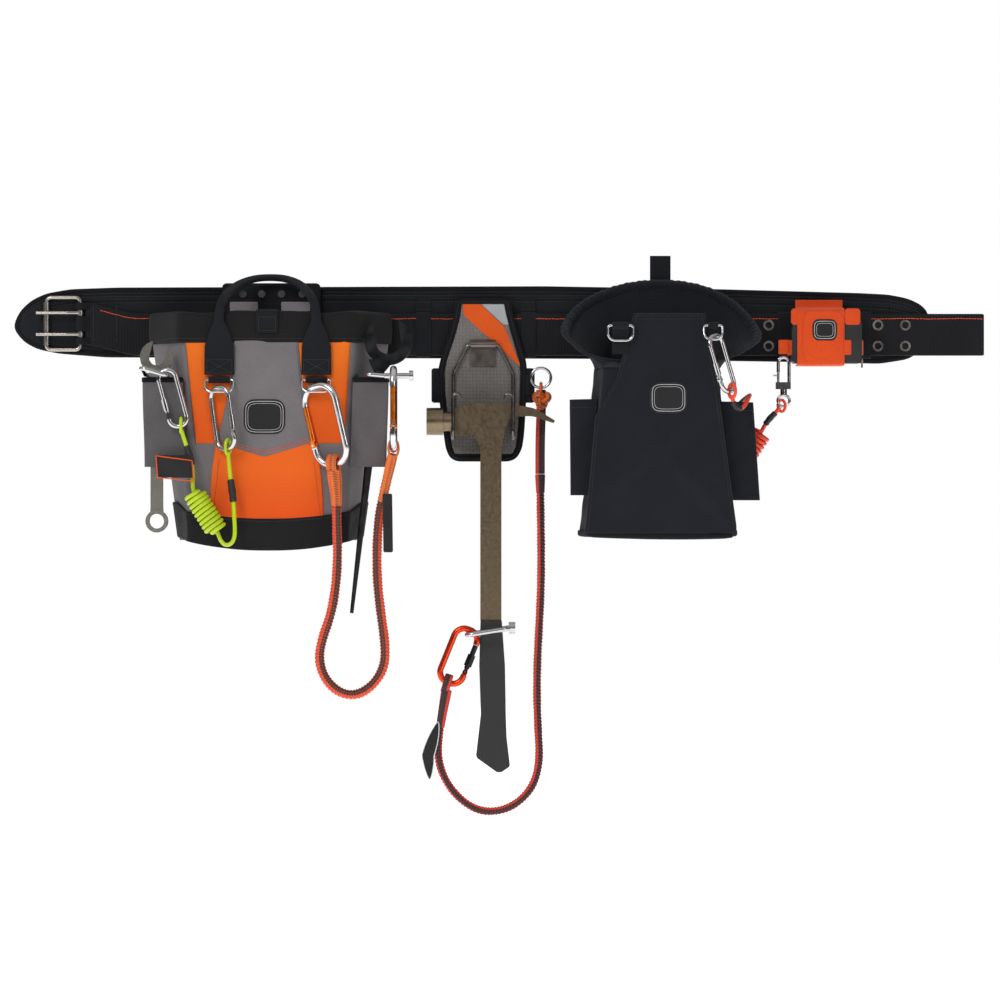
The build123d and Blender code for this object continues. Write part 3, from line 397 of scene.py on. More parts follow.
class Graph:
    """The nodes of one material."""

    def __init__(self, name: str) -> None:
        """Starts a material with its shader."""
        self.material = bpy.data.materials.new(name)
        self.material.use_nodes = True
        self.tree = self.material.node_tree
        self.shader = self.tree.nodes["Principled BSDF"]

    def node(self, kind: str) -> bpy.types.Node:
        """Adds a node."""
        return self.tree.nodes.new("ShaderNode" + kind)

    def feed(self, socket: bpy.types.NodeSocket, value: object) -> None:
        """Joins a socket to another, or sets it."""
        if isinstance(value, bpy.types.NodeSocket):
            self.tree.links.new(value, socket)
        else:
            socket.default_value = value

    def calc(self, operation: str, first: object, second: object = None, clamp: bool = False) -> bpy.types.NodeSocket:
        """Arithmetic on one or two values."""
        made = self.node("Math")
        made.operation, made.use_clamp = operation, clamp
        self.feed(made.inputs[0], first)
        if second is not None:
            self.feed(made.inputs[1], second)
        return made.outputs[0]

    def noise(self, place: bpy.types.NodeSocket, scale: float, detail: float = 3.0) -> bpy.types.NodeSocket:
        """Cloudy noise between 0 and 1."""
        made = self.node("TexNoise")
        self.feed(made.inputs["Vector"], place)
        made.inputs["Scale"].default_value, made.inputs["Detail"].default_value = scale, detail
        return made.outputs["Fac"]

    def blend(self, share: object, low: object, high: object) -> bpy.types.NodeSocket:
        """Mixes two colours."""
        made = self.node("Mix")
        made.data_type = "RGBA"
        for index, value in ((0, share), (6, low), (7, high)):
            self.feed(made.inputs[index], (*value, 1.0) if isinstance(value, tuple) else value)
        return made.outputs[2]

    def bump(self, height: bpy.types.NodeSocket, strength: float, distance: float) -> None:
        """Raises the surface by a height."""
        made = self.node("Bump")
        made.inputs["Strength"].default_value, made.inputs["Distance"].default_value = strength, distance
        self.feed(made.inputs["Height"], height)
        self.feed(self.shader.inputs["Normal"], made.outputs[0])

    def object_place(self) -> tuple[bpy.types.NodeSocket, bpy.types.NodeSocket, bpy.types.NodeSocket]:
        """Object coordinates, and from them the way across (x + y) and the way up (z)."""
        place = self.node("TexCoord").outputs["Object"]
        split = self.node("SeparateXYZ")
        self.feed(split.inputs[0], place)
        return place, self.calc("ADD", split.outputs[0], split.outputs[1]), split.outputs[2]


def shade(tint: Colour, by: float) -> Colour:
    """A lighter or darker tint."""
    return tuple(min(c * by, 1.0) for c in tint)


@dataclass(frozen=True)
class Finish:
    """What a piece is made of."""

    name: str
    tint: Colour

    def material(self) -> bpy.types.Material:
        """Its material, built once."""
        return bpy.data.materials.get(self.name) or self.build()

    def build(self) -> bpy.types.Material:
        """Builds the material."""
        return Graph(self.name).material


@dataclass(frozen=True)
class Cloth(Finish):
    """Woven cloth: yarns cross as sin(across) * sin(up), ribs are |sin(across)|, with cloudy wear and fuzz, and an
    optional painted highlight that blends in a lighter tint towards the top.
    """

    weave: Weave = Weave.CANVAS
    pitch: float = 1.2
    rough: float = 0.85
    sheen: float = 0.15
    fleck: float = 0.7
    relief: float = 0.5
    # painted highlight: an optional lighter tint blended in up the cloth, so its top looks lit from above
    painted_highlight_tint: Colour | None = None
    painted_highlight_from: float = 0.0
    painted_highlight_to: float = 1.0

    def build(self) -> bpy.types.Material:
        """Builds the cloth's nodes.

        Returns:
            The material.
        """
        g = Graph(self.name)
        place, across, up = g.object_place()
        turn = 2 * math.pi / (self.pitch * 0.001)
        if self.weave is Weave.MESH:
            across, up = g.calc("ADD", across, up), g.calc("SUBTRACT", across, up)
        a = g.calc("SINE", g.calc("MULTIPLY", across, turn))
        b = g.calc("SINE", g.calc("MULTIPLY", up, turn))
        if self.weave is Weave.RIBBED:
            yarn = g.calc("SUBTRACT", g.calc("ABSOLUTE", a), 0.6)
        elif self.weave is Weave.FELT:
            yarn = g.calc("MULTIPLY", g.calc("SUBTRACT", g.noise(place, 500, 4), 0.5), 2.0)
        else:
            yarn = g.calc("MULTIPLY", a, b)
        cloud = g.calc("SUBTRACT", g.noise(place, 16, 5), 0.5)
        fuzz = g.calc("SUBTRACT", g.noise(place, 620, 2), 0.5)
        mixed = g.calc("ADD", g.calc("MULTIPLY", yarn, 0.22 if self.weave is not Weave.MESH else 0.55),
                       g.calc("ADD", cloud, g.calc("MULTIPLY", fuzz, 0.6)))
        share = g.calc("ADD", g.calc("MULTIPLY", mixed, self.fleck), 0.5, clamp=True)
        colour = g.blend(share, shade(self.tint, 0.6), shade(self.tint, 1.45))
        # painted highlight: blends towards the lighter tint between the two heights, lighter towards the top
        if self.painted_highlight_tint:
            split = g.node("SeparateXYZ")
            g.feed(split.inputs[0], place)
            run = g.calc("DIVIDE", g.calc("SUBTRACT", split.outputs[2], self.painted_highlight_from * 0.001),
                         (self.painted_highlight_to - self.painted_highlight_from) * 0.001, clamp=True)
            other = g.blend(share, shade(self.painted_highlight_tint, 0.75), shade(self.painted_highlight_tint, 1.3))
            colour = g.blend(run, colour, other)
        g.feed(g.shader.inputs["Base Color"], colour)
        g.feed(g.shader.inputs["Roughness"], g.calc("ADD", g.calc("MULTIPLY", cloud, 0.2), self.rough, clamp=True))
        g.shader.inputs["Sheen Weight"].default_value = self.sheen
        g.shader.inputs["Sheen Roughness"].default_value = 0.5
        g.shader.inputs["Specular IOR Level"].default_value = 0.16
        g.bump(g.calc("ADD", yarn, g.calc("MULTIPLY", fuzz, 0.8)), self.relief, 0.0004)
        return g.material


@dataclass(frozen=True)
class Metal(Finish):
    """Bare, plated or anodised metal with fine scratches and worn patches."""

    rough: float = 0.25
    wear: float = 0.15
    grain: float = 90.0
    metallic: float = 1.0

    def build(self) -> bpy.types.Material:
        """Builds the metal's nodes.

        Returns:
            The material.
        """
        g = Graph(self.name)
        place, *_ = g.object_place()
        cloud = g.noise(place, self.grain, 6)
        fine = g.noise(place, self.grain * 14, 3)
        g.feed(g.shader.inputs["Base Color"], g.blend(cloud, shade(self.tint, 0.8), shade(self.tint, 1.2)))
        rough = g.calc("ADD", g.calc("MULTIPLY", g.calc("SUBTRACT", cloud, 0.5), self.wear * 2), self.rough, clamp=True)
        g.feed(g.shader.inputs["Roughness"], rough)
        g.shader.inputs["Metallic"].default_value = self.metallic
        g.bump(fine, 0.12, 0.0002)
        return g.material


@dataclass(frozen=True)
class Moulded(Finish):
    """Rubber or plastic with a fine moulded grain."""

    rough: float = 0.5
    grain: float = 900.0
    relief: float = 0.2

    def build(self) -> bpy.types.Material:
        """Builds the moulding's nodes.

        Returns:
            The material.
        """
        g = Graph(self.name)
        place, _, _ = g.object_place()
        cloud, fine = g.noise(place, 30, 4), g.noise(place, self.grain, 2)
        g.feed(g.shader.inputs["Base Color"], g.blend(cloud, shade(self.tint, 0.8), shade(self.tint, 1.25)))
        g.feed(g.shader.inputs["Roughness"],
               g.calc("ADD", g.calc("MULTIPLY", g.calc("SUBTRACT", cloud, 0.5), 0.2), self.rough, clamp=True))
        g.bump(fine, self.relief, 0.0003)
        return g.material


@dataclass(frozen=True)
class Braid(Finish):
    """Cord cover in two yarns: strands cross as sin(along + round) * sin(along - round), one yarn down one side."""

    second: Colour = (0.02, 0.02, 0.02)
    share: float = 0.0
    pitch: float = 3.0
    strands: float = 4.0
    rough: float = 0.6
    relief: float = 0.6

    def build(self) -> bpy.types.Material:
        """Builds the braid's nodes on the piece's own UV.

        Returns:
            The material.
        """
        g = Graph(self.name)
        uv = g.node("UVMap")
        uv.uv_map = "along"
        split = g.node("SeparateXYZ")
        g.feed(split.inputs[0], uv.outputs[0])
        along = g.calc("MULTIPLY", split.outputs[0], 2 * math.pi / (self.pitch * 0.001))
        around = g.calc("MULTIPLY", split.outputs[1], 2 * math.pi)
        wrap = g.calc("MULTIPLY", around, self.strands)
        a = g.calc("SINE", g.calc("ADD", along, wrap))
        b = g.calc("SINE", g.calc("SUBTRACT", along, wrap))
        yarn = g.calc("MULTIPLY", a, b)
        place, _, _ = g.object_place()
        fuzz = g.calc("SUBTRACT", g.noise(place, 500, 3), 0.5)
        lane = g.calc("SINE", g.calc("ADD", g.calc("MULTIPLY", around, 2.0),
                                      g.calc("SUBTRACT", g.calc("MULTIPLY", g.noise(place, 9, 1), 1.6), 1.4)))
        pick = g.calc("ADD", g.calc("ADD", g.calc("MULTIPLY", lane, 0.9), g.calc("MULTIPLY", yarn, 0.8)), self.share)
        pick = g.calc("MULTIPLY", pick, 2.2, clamp=True)
        tone = g.calc("ADD", g.calc("MULTIPLY", fuzz, 0.9), 0.5, clamp=True)
        first = g.blend(tone, shade(self.tint, 0.65), shade(self.tint, 1.3))
        g.feed(g.shader.inputs["Base Color"], g.blend(pick, first, self.second))
        g.shader.inputs["Roughness"].default_value = self.rough
        g.shader.inputs["Sheen Weight"].default_value = 0.1
        g.bump(g.calc("ADD", yarn, fuzz), self.relief, 0.0004)
        return g.material


BLACK_CLOTH = Cloth("padded_black_nylon", (0.013, 0.014, 0.017), pitch=1.4, sheen=0.05)
BLACK_BIND = Cloth("black_edge_binding", (0.008, 0.008, 0.010), Weave.RIBBED, pitch=1.6, sheen=0.03)
BLACK_WEB = Cloth("black_belt_webbing", (0.011, 0.011, 0.013), Weave.RIBBED, pitch=7.2, fleck=1.2, relief=0.9,
                  sheen=0.04)
BLACK_TAPE = Cloth("black_strap_webbing", (0.012, 0.013, 0.016), Weave.CANVAS, pitch=2.0, relief=0.8, sheen=0.05)
BLACK_CANVAS = Cloth("black_duck_canvas", (0.012, 0.0135, 0.019), pitch=1.3, sheen=0.09, relief=0.7)
COLLAR_CLOTH = Cloth("black_collar_cloth", (0.011, 0.011, 0.012), pitch=1.5, sheen=0.07)
GREY_CLOTH = Cloth("grey_ballistic_cloth", (0.175, 0.162, 0.168), pitch=1.6, rough=0.62, sheen=0.1)
GREY_SIDE = Cloth("grey_sleeve_cloth", (0.115, 0.107, 0.11), pitch=1.6, rough=0.7, sheen=0.1)
# painted highlight: the strips turn lighter and yellower from z -120 up to z -30
ORANGE_CLOTH = Cloth("orange_panel_cloth", (0.94, 0.10, 0.006), pitch=1.5, rough=0.62, fleck=0.35,
                     painted_highlight_tint=(1.0, 0.17, 0.01), painted_highlight_from=-120, painted_highlight_to=-30)
# painted highlight: the lower panel turns lighter from z -240 up to z -180
ORANGE_LOW = Cloth("orange_lower_cloth", (0.92, 0.078, 0.004), pitch=1.5, rough=0.6, fleck=0.35,
                   painted_highlight_tint=(0.97, 0.13, 0.008), painted_highlight_from=-240, painted_highlight_to=-180)
ORANGE_TRIM = Cloth("orange_trim_cloth", (0.95, 0.10, 0.01), pitch=1.4, rough=0.7, fleck=0.4)
ORANGE_TAPE = Cloth("orange_harness_cloth", (0.93, 0.075, 0.01), pitch=1.6, rough=0.7, fleck=0.5)
SILVER_CLOTH = Cloth("silver_reflective_cloth", (0.42, 0.44, 0.45), pitch=0.8, rough=0.4, fleck=0.3)
MESH_CLOTH = Cloth("grey_spacer_mesh", (0.19, 0.178, 0.168), Weave.MESH, pitch=3.4, fleck=1.5, relief=1.0)
PATCH_CLOTH = Cloth("patch_black", (0.02, 0.02, 0.022), pitch=0.9, rough=0.6)
PALE_THREAD = Cloth("pale_thread", (0.62, 0.62, 0.62), Weave.FELT, rough=0.7)
GREY_THREAD = Cloth("grey_thread", (0.05, 0.05, 0.055), Weave.FELT, rough=0.8)
ORANGE_THREAD = Cloth("orange_thread", (0.85, 0.10, 0.03), Weave.FELT, rough=0.7)
NICKEL = Metal("brushed_nickel", (0.44, 0.40, 0.37), rough=0.28)
STEEL = Metal("polished_steel", (0.58, 0.58, 0.59), rough=0.16, wear=0.1)
SATIN_STEEL = Metal("satin_chrome_steel", (0.60, 0.57, 0.50), rough=0.26, wear=0.0, grain=240.0)
ALUMINIUM = Metal("bright_aluminium", (0.72, 0.73, 0.75), rough=0.2)
DARK_STEEL = Metal("dark_wire_steel", (0.16, 0.15, 0.145), rough=0.22)
BLACK_OXIDE = Metal("black_oxide_steel", (0.035, 0.037, 0.04), rough=0.38, wear=0.25)
BRACKET_STEEL = Metal("bronzed_bracket_steel", (0.19, 0.165, 0.15), rough=0.34)
BRONZE = Metal("bronze_hammer_coating", (0.23, 0.175, 0.115), rough=0.34, wear=0.12, grain=260.0)
RED_METAL = Metal("red_anodised_metal", (0.75, 0.06, 0.02), rough=0.25)
ORANGE_METAL = Metal("orange_anodised_gate", (0.9, 0.22, 0.03), rough=0.28)
BLACK_METAL = Metal("black_anodised_gate", (0.03, 0.03, 0.033), rough=0.3)
BLADE_STEEL = Metal("blade_steel", (0.6, 0.55, 0.3), rough=0.35)
RUBBER = Moulded("black_grip_rubber", (0.014, 0.014, 0.014), rough=0.6)
PLASTIC = Moulded("black_case_plastic", (0.02, 0.02, 0.022), rough=0.4)
SLEEVE_RUBBER = Moulded("black_ferrule_rubber", (0.012, 0.012, 0.012), rough=0.45)
LIME = Moulded("lime_coil_plastic", (0.46, 0.62, 0.01), rough=0.3, relief=0.05)
RED_COIL = Moulded("red_coil_plastic", (0.88, 0.06, 0.02), rough=0.3, relief=0.05)
BUNGEE = Braid("orange_brown_bungee", (0.80, 0.065, 0.012), (0.06, 0.02, 0.012), share=0.05, pitch=6.0)
RED_BUNGEE = Braid("red_black_bungee", (0.72, 0.035, 0.015), (0.02, 0.008, 0.008), share=0.15, pitch=6.0)
RED_TAPE = Braid("red_black_strap", (0.70, 0.035, 0.015), (0.02, 0.01, 0.01), share=0.2, pitch=5.0)
ORANGE_CORD = Braid("orange_loop_webbing", (0.92, 0.16, 0.02), (0.10, 0.03, 0.01), share=-0.7, pitch=4.0)


def dress(finish: Finish, *nodes: str) -> None:
    """Gives frame nodes a finish."""
    for name in nodes:
        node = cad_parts[name]
        for holder in node.material_slots:
            holder.material = finish.material()
        log.info("%s: %s", name, finish.name)


# ---- cords --------------------------------------------------------------------------
def route_line(points: list[Point]) -> Array:
    """Smooth line of a route, as Blender draws a NURBS spline of order 3 through its control points.

    Args:
        points: the route's control points.

    Returns:
        Points along the line, in millimetres.
    """
    curve = bpy.data.curves.new("route", "CURVE")
    curve.dimensions, curve.resolution_u = "3D", 24
    spline = curve.splines.new("NURBS")
    spline.points.add(len(points) - 1)
    spline.points.foreach_set("co", np.c_[np.array(points) * 0.001, np.ones(len(points))].ravel())
    spline.order_u = 3
    spline.use_endpoint_u = True
    holder = bpy.data.objects.new("route", curve)
    drawn = bpy.data.meshes.new_from_object(holder)
    line = np.zeros(len(drawn.vertices) * 3, np.float32)
    drawn.vertices.foreach_get("co", line)
    bpy.data.objects.remove(holder)
    bpy.data.curves.remove(curve)
    bpy.data.meshes.remove(drawn)
    return line.reshape(-1, 3).astype(float) * 1000


def wound(line: Array, start: Point, end: Point, turns: float, radius: float) -> Array:
    """Coil on a line: line + radius * ramp * (cos(turn) side + sin(turn) third) between two of its points.

    Args:
        line: the route's smooth line.
        start: where the coil starts.
        end: where the coil ends.
        turns: number of turns.
        radius: of the cord's middle round the line.

    Returns:
        The cord's own middle line.
    """
    fine = resampled(line, 0.25)
    a = int(np.argmin(np.linalg.norm(fine - np.array(start), axis=1)))
    b = int(np.argmin(np.linalg.norm(fine - np.array(end), axis=1)))
    share = np.clip((np.arange(len(fine)) - a) / (b - a), 0, 1)
    ramp = ease(share * turns / 0.6) * ease((1 - share) * turns / 0.6)
    _, side, third = axes_along(fine, (0, 1, 0))
    turn = 2 * math.pi * turns * share[:, None]
    path = fine + radius * ramp[:, None] * (np.cos(turn) * side + np.sin(turn) * third)
    return resampled(path, 1.1)


@dataclass
class Tether:
    """A cord swept along its route."""

    name: str
    finish: Finish
    slot: str
    nodes: tuple[str, ...]
    route: list[Point]
    dia: float
    stiffness: str = "limp"
    lay: str = "hanging"
    body: str = ""
    pucker: float = 0.0
    pucker_pitch: float = 4.2
    flat_width: float = 0.0
    coil: tuple[Point, Point, float, float] | None = None
    far_end: str = "object"
    path: Array = field(default_factory=lambda: np.zeros((0, 3)))

    def length(self) -> float:
        """Length of the path in millimetres."""
        return float(np.linalg.norm(np.diff(self.path, axis=0), axis=1).sum())

    def mesh(self) -> bpy.types.Object:
        """Carries the cord's section along its path; puckers swell it as 1 + pucker * sin(along)."""
        line = route_line(self.route)
        self.path = wound(line, *self.coil) if self.coil else resampled(line, 0.9)
        along = np.arange(len(self.path)) * self.length() / max(len(self.path) - 1, 1)
        swell = 1 + self.pucker * (np.sin(along * 2 * math.pi / self.pucker_pitch)
                                   + 0.25 * np.sin(along * 2 * math.pi / 37.0))
        half = self.dia / 2 * swell
        wide = self.flat_width / 2 * swell if self.flat_width else half
        shell = sweep(self.path, wide, half * (0.5 if self.flat_width else 1), count=12,
                      power=4.0 if self.flat_width else 2.0)
        return shell.place(self.name, self.finish, self.body, self.slot, self.nodes)


def stretch_of(path: Array, start: float, end: float) -> Array:
    """The part of a path between two distances from its start."""
    far = np.concatenate([[0.0], np.cumsum(np.linalg.norm(np.diff(path, axis=0), axis=1))])
    at = np.linspace(start, end, max(int((end - start) / 1.0), 4))
    return np.stack([np.interp(at, far, path[:, c]) for c in range(3)], -1)


def sleeve_on(path: Array, start: float, end: float, half: float, bead: float = 0.06) -> Shell:
    """Ferrule on a cord: a tube round a stretch of it with softly swollen ends."""
    part = stretch_of(path, start, end)
    t = np.linspace(0, 1, len(part))
    close = ease(np.minimum(t, 1 - t) * 12)
    return sweep(part, half * (0.72 + 0.28 * close + bead * np.cos(t * 4 * math.pi)), 
                 half * (0.72 + 0.28 * close + bead * np.cos(t * 4 * math.pi)), count=18)


def eye(centre: Point, tall: float, wide: float, normal: Point, cord: float, flat_to: float = 0.0) -> Shell:
    """Loop through a link: an upright oval round a normal, swept with the cord's own section."""
    n = unit(np.array(normal, float))
    up = unit(np.array((0, 0, 1.0)) - n * n[2])
    side = np.cross(n, up)
    a = np.linspace(0, 2 * math.pi, 64, endpoint=False)[:, None]
    path = np.array(centre) + np.cos(a) * up * tall / 2 + np.sin(a) * side * wide / 2
    return sweep(path, flat_to or cord / 2, cord / 2, side=tuple(n), round_trip=True, count=12,
                 power=4.0 if flat_to else 2.0)


# ---- studio -------------------------------------------------------------------------
@dataclass
class Studio:
    """Pale floor, soft light and the camera, straight in front of the belt."""

    view_x: float = 34.5
    view_z: float = -213.6
    distance: float = 6745.0
    lens: float = 200.0
    floor_z: float = -640.0

    def camera(self) -> None:
        """Makes the camera."""
        data = bpy.data.cameras.new("camera")
        data.lens, data.sensor_width = self.lens, 36.0
        eye_point = bpy.data.objects.new("camera", data)
        eye_point.location = (self.view_x * 0.001, -self.distance * 0.001, self.view_z * 0.001)
        eye_point.rotation_euler = (math.pi / 2, 0, 0)
        bpy.context.scene.collection.objects.link(eye_point)
        bpy.context.scene.camera = eye_point

    def lights(self) -> None:
        """Pale room light and two soft boxes."""
        world = bpy.data.worlds.new("room")
        world.use_nodes = True
        tree = world.node_tree
        seen = tree.nodes["Background"]
        seen.inputs[0].default_value = (1, 1, 1, 1)
        around = tree.nodes.new("ShaderNodeBackground")
        way = tree.nodes.new("ShaderNodeTexCoord")
        split = tree.nodes.new("ShaderNodeSeparateXYZ")
        ramp = tree.nodes.new("ShaderNodeValToRGB")
        shift = tree.nodes.new("ShaderNodeMath")
        shift.operation = "MULTIPLY_ADD"
        shift.inputs[1].default_value = shift.inputs[2].default_value = 0.5
        levels = ((0.0, 0.22), (0.36, 0.24), (0.47, 0.03), (0.56, 0.08), (0.68, 0.36), (1.0, 0.55))
        ramp.color_ramp.elements.remove(ramp.color_ramp.elements[1])
        for at, level in levels:
            mark = ramp.color_ramp.elements.new(at) if at else ramp.color_ramp.elements[0]
            mark.color = (level, level, level, 1)
        light_path = tree.nodes.new("ShaderNodeLightPath")
        mix = tree.nodes.new("ShaderNodeMixShader")
        for source, socket in ((way.outputs["Generated"], split.inputs[0]), (split.outputs[2], shift.inputs[0]),
                               (shift.outputs[0], ramp.inputs[0]), (ramp.outputs[0], around.inputs[0]),
                               (light_path.outputs["Is Camera Ray"], mix.inputs[0]), (around.outputs[0], mix.inputs[1]),
                               (seen.outputs[0], mix.inputs[2]),
                               (mix.outputs[0], tree.nodes["World Output"].inputs[0])):
            tree.links.new(source, socket)
        bpy.context.scene.world = world
        for name, place, turn, size, power in (("key", (-1.3, -2.2, 1.5), (58, 0, -30), 1.0, 30),
                                               ("fill", (1.6, -2.0, 0.4), (80, 0, 38), 0.8, 5)):
            data = bpy.data.lights.new(name, "AREA")
            data.size, data.energy = size, power
            lamp = bpy.data.objects.new(name, data)
            lamp.location = place
            lamp.rotation_euler = tuple(math.radians(a) for a in turn)
            bpy.context.scene.collection.objects.link(lamp)
        bpy.context.scene.view_settings.view_transform = "Standard"

    def floor(self) -> None:
        """Pale floor below the lowest cord."""
        x = np.linspace(-4000, 4000, 9)
        shell = panel(x, np.full(9, -3000.0), np.full(9, 5000.0), flat(0), 10, across="x", edge=5, rows=9)
        shell.points = shell.points[:, [0, 2, 1]] * (1, 1, 1) + (0, 0, self.floor_z)
        ground = shell.outward().place("floor", Moulded("pale_floor", (0.9, 0.9, 0.9), rough=0.9, relief=0.0))
        shader = ground.data.materials[0].node_tree.nodes["Principled BSDF"]
        shader.inputs["Emission Color"].default_value = (1, 1, 1, 1)
        shader.inputs["Emission Strength"].default_value = 0.85

    def build(self) -> None:
        """Builds the whole studio."""
        self.camera()
        self.lights()
        self.floor()


# ---- belt ---------------------------------------------------------------------------
def hoop(x: float, wide: float, top: float, low: float, back: float, front: float, thick: float) -> Shell:
    """Strap carried round the belt: a rounded box path in y and z, swept as a flat oval."""
    path = softened([(x, back, low), (x, front, low), (x, front, top), (x, back, top)], 3, True, 1.5)
    return sweep(path, wide / 2, thick / 2, side=(1, 0, 0), round_trip=True, count=28, power=6)


@dataclass
class Belt:
    """Padded belt, its webbing and keepers."""

    left: float = -552.0
    right: float = 552.0
    thick: float = 9.4
    web_mid: float = -13.4
    web_half: float = 25.4
    web_end: float = 621.0

    def upper(self, x: Array) -> Array:
        """Top outline of the pad."""
        return np.interp(x, [-552, -550, -544, -532, -515, -486, -430, 89, 300, 470, 505, 528, 543, 550, 552],
                         [-3, 6, 17, 28, 36, 41, 43, 44.6, 41, 36.3, 34.5, 30, 23, 16, 6])

    def lower(self, x: Array) -> Array:
        """Bottom outline of the pad."""
        return np.interp(x, [-552, -549, -540, -525, -500, -443, 143, 420, 495, 528, 541, 549, 552],
                         [-3, -12, -22, -30, -35, -39.5, -41.2, -45.5, -47.2, -42, -34, -16, 6])

    def pad(self) -> None:
        """Crowned pad with two sewn channels above the webbing and one below it."""
        x = stations(self.left, self.right, 460)
        low, high = self.lower(x), self.upper(x)

        def back(px: Array, pz: Array) -> Array:
            """The flat back, with the channels and slack cut into the front through it."""
            top = self.upper(px) - pz
            foot = pz - self.lower(px)
            cut = 1.9 * (np.exp(-((top - 8) / 1.1) ** 2) + np.exp(-((top - 15.5) / 1.1) ** 2)
                         + np.exp(-((foot - 7) / 1.1) ** 2))
            return -0.3 + cut * np.clip((px - self.left) / 40, 0, 1) + waves(px, pz, 0.25, 70)

        body = panel(x, low, high, back, self.thick, "x", edge=9, rows=72)
        body.points[:, 1] = np.minimum(body.points[:, 1], 0.0)
        pad = body.place("belt_pad_foam", BLACK_CLOTH, "belt", "black_pad_fabric", ("belt_pad",))
        rim = np.concatenate([np.stack([x, 0 * x - 4.6, high - 2.4], -1),
                              np.stack([x, 0 * x - 4.6, low + 2.4], -1)[::-1][1:-1]])
        rim = resampled(rim, 2.5, True)
        for _ in range(6):
            rim = 0.25 * np.roll(rim, 1, 0) + 0.5 * rim + 0.25 * np.roll(rim, -1, 0)
        binding = sweep(rim, 4.4, 3.6, side=(0, 1, 0), round_trip=True, count=16, power=3)
        binding.place("belt_pad_binding", BLACK_BIND, "belt", "black_pad_fabric")
        rows = [np.stack([x[8:-8], 0 * x[8:-8] - 9.9, self.upper(x[8:-8]) - d], -1) for d in (6.1, 9.9, 13.6, 17.4)]
        Shell.join([stitches(r, 4.0, 2.6, 0.22) for r in rows]).place(
            "belt_pad_stitching", GREY_THREAD, "belt", "black_pad_fabric")

    def mid(self, x: Array) -> Array:
        """Height of the webbing's middle, which rises to the buckle."""
        return self.web_mid * ease((x + 474) / 75)

    def webbing(self) -> None:
        """Belt webbing with its fold round the buckle bar, the woven ribs and the coloured stitch line."""
        x = np.concatenate([np.linspace(-468, -380, 50), np.linspace(-378, self.web_end, 420)])
        strap = panel(x, self.mid(x) - self.web_half, self.mid(x) + self.web_half, flat(-13.2), 2.9, "x",
                      edge=1.2, rows=30, corner=1.0)
        folds = []
        for low, high in ((-25.4, -16.9), (-9.1, 9.1), (16.9, 25.4)):
            turn = np.linspace(0.3, 2 * math.pi - 0.3, 26)
            ring = np.stack([-474 + 4.3 * np.cos(turn), -14.5 + 4.3 * np.sin(turn), 0 * turn + (low + high) / 2], -1)
            lead = np.array([[-462.0, -14.5 + s, (low + high) / 2] for s in (1.2, -1.2)])
            path = np.concatenate([lead[:1], ring, lead[1:]])
            folds.append(sweep(path, (high - low) / 2, 0.9, side=(0, 0, 1), count=20, power=6))
        Shell.join([strap, *folds]).place("belt_webbing_strap", BLACK_WEB, "belt", "black_webbing", ("belt_webbing",))
        run = np.linspace(-448, self.web_end - 4, 700)
        zigzag = 0.55 * np.sin(run * 1.9)
        line = np.stack([run, 0 * run - 16.4, self.mid(run) + self.web_half - 6 + zigzag], -1)
        stitches(line, 3.9, 3.4, 0.5).place("belt_orange_stitching", ORANGE_THREAD, "belt", "black_webbing")
        box = [np.stack([0 * run[:60] + px, 0 * run[:60] - 16.3, np.linspace(-20, 20, 60)], -1) for px in (-458, -430)]
        Shell.join([stitches(b, 2.8, 2.0, 0.3) for b in box]).place(
            "belt_fold_stitching", GREY_THREAD, "belt", "black_webbing")

    def keepers(self) -> None:
        """Two sewn loops that hold the webbing to the pad, each with its cross stitching."""
        loops, seams = [], []
        for px in (-58.0, 69.0):
            loops.append(hoop(px, 18, 13.4, -40.2, -10.6, -17.4, 1.4))
            z = stations(12, 30, 16)
            loops.append(panel(z, np.full(16, px - 9), np.full(16, px + 9), flat(-10.0), 1.6, edge=1.0, corner=1.0))
            for z0 in (17.0, 26.0):
                run = np.linspace(px - 7.5, px + 7.5, 12)
                seams.append(stitches(np.stack([run, 0 * run - 11.6, 0 * run + z0], -1), 2.5, 1.9, 0.28))
        Shell.join(loops).place("belt_keeper_loops", BLACK_TAPE, "belt", "black_webbing", ("webbing_keepers",))
        Shell.join(seams).place("belt_keeper_stitching", GREY_THREAD, "belt", "black_webbing")

    def build(self) -> None:
        """Builds the belt and finishes its metal parts."""
        self.pad()
        self.webbing()
        self.keepers()
        dress(NICKEL, "webbing_grommets", "buckle_frame", "buckle_roller", "prong_upper", "prong_lower")


# ---- patch --------------------------------------------------------------------------
def plain_patch(name: str, x: float, z: float, wide: float, tall: float, depth: Depth, body: str, slot: str) -> None:
    """Blank rounded patch with a pale border line and a stitched edge."""
    run = stations(z - tall / 2, z + tall / 2, 30)
    full = np.ones(30)
    patch = panel(run, full * (x - wide / 2), full * (x + wide / 2), depth, 1.1, edge=1.4, corner=tall * 0.32, rows=30)
    patch.place(name, PATCH_CLOTH, body, slot)
    loops = []
    for inset, thread in ((2.6, 0.55), (5.2, 0.35)):
        shape = oval(120, 4.5)
        px, pz = x + shape[:, 0] * (wide / 2 - inset), z + shape[:, 1] * (tall / 2 - inset)
        line = np.stack([px, depth(px, pz) - 1.15, pz], -1)
        loops.append(sweep(resampled(line, 1.2, True), thread, thread * 0.6, side=(0, 1, 0), round_trip=True, count=8))
    Shell.join(loops).place(name + "_border", PALE_THREAD, body, slot)


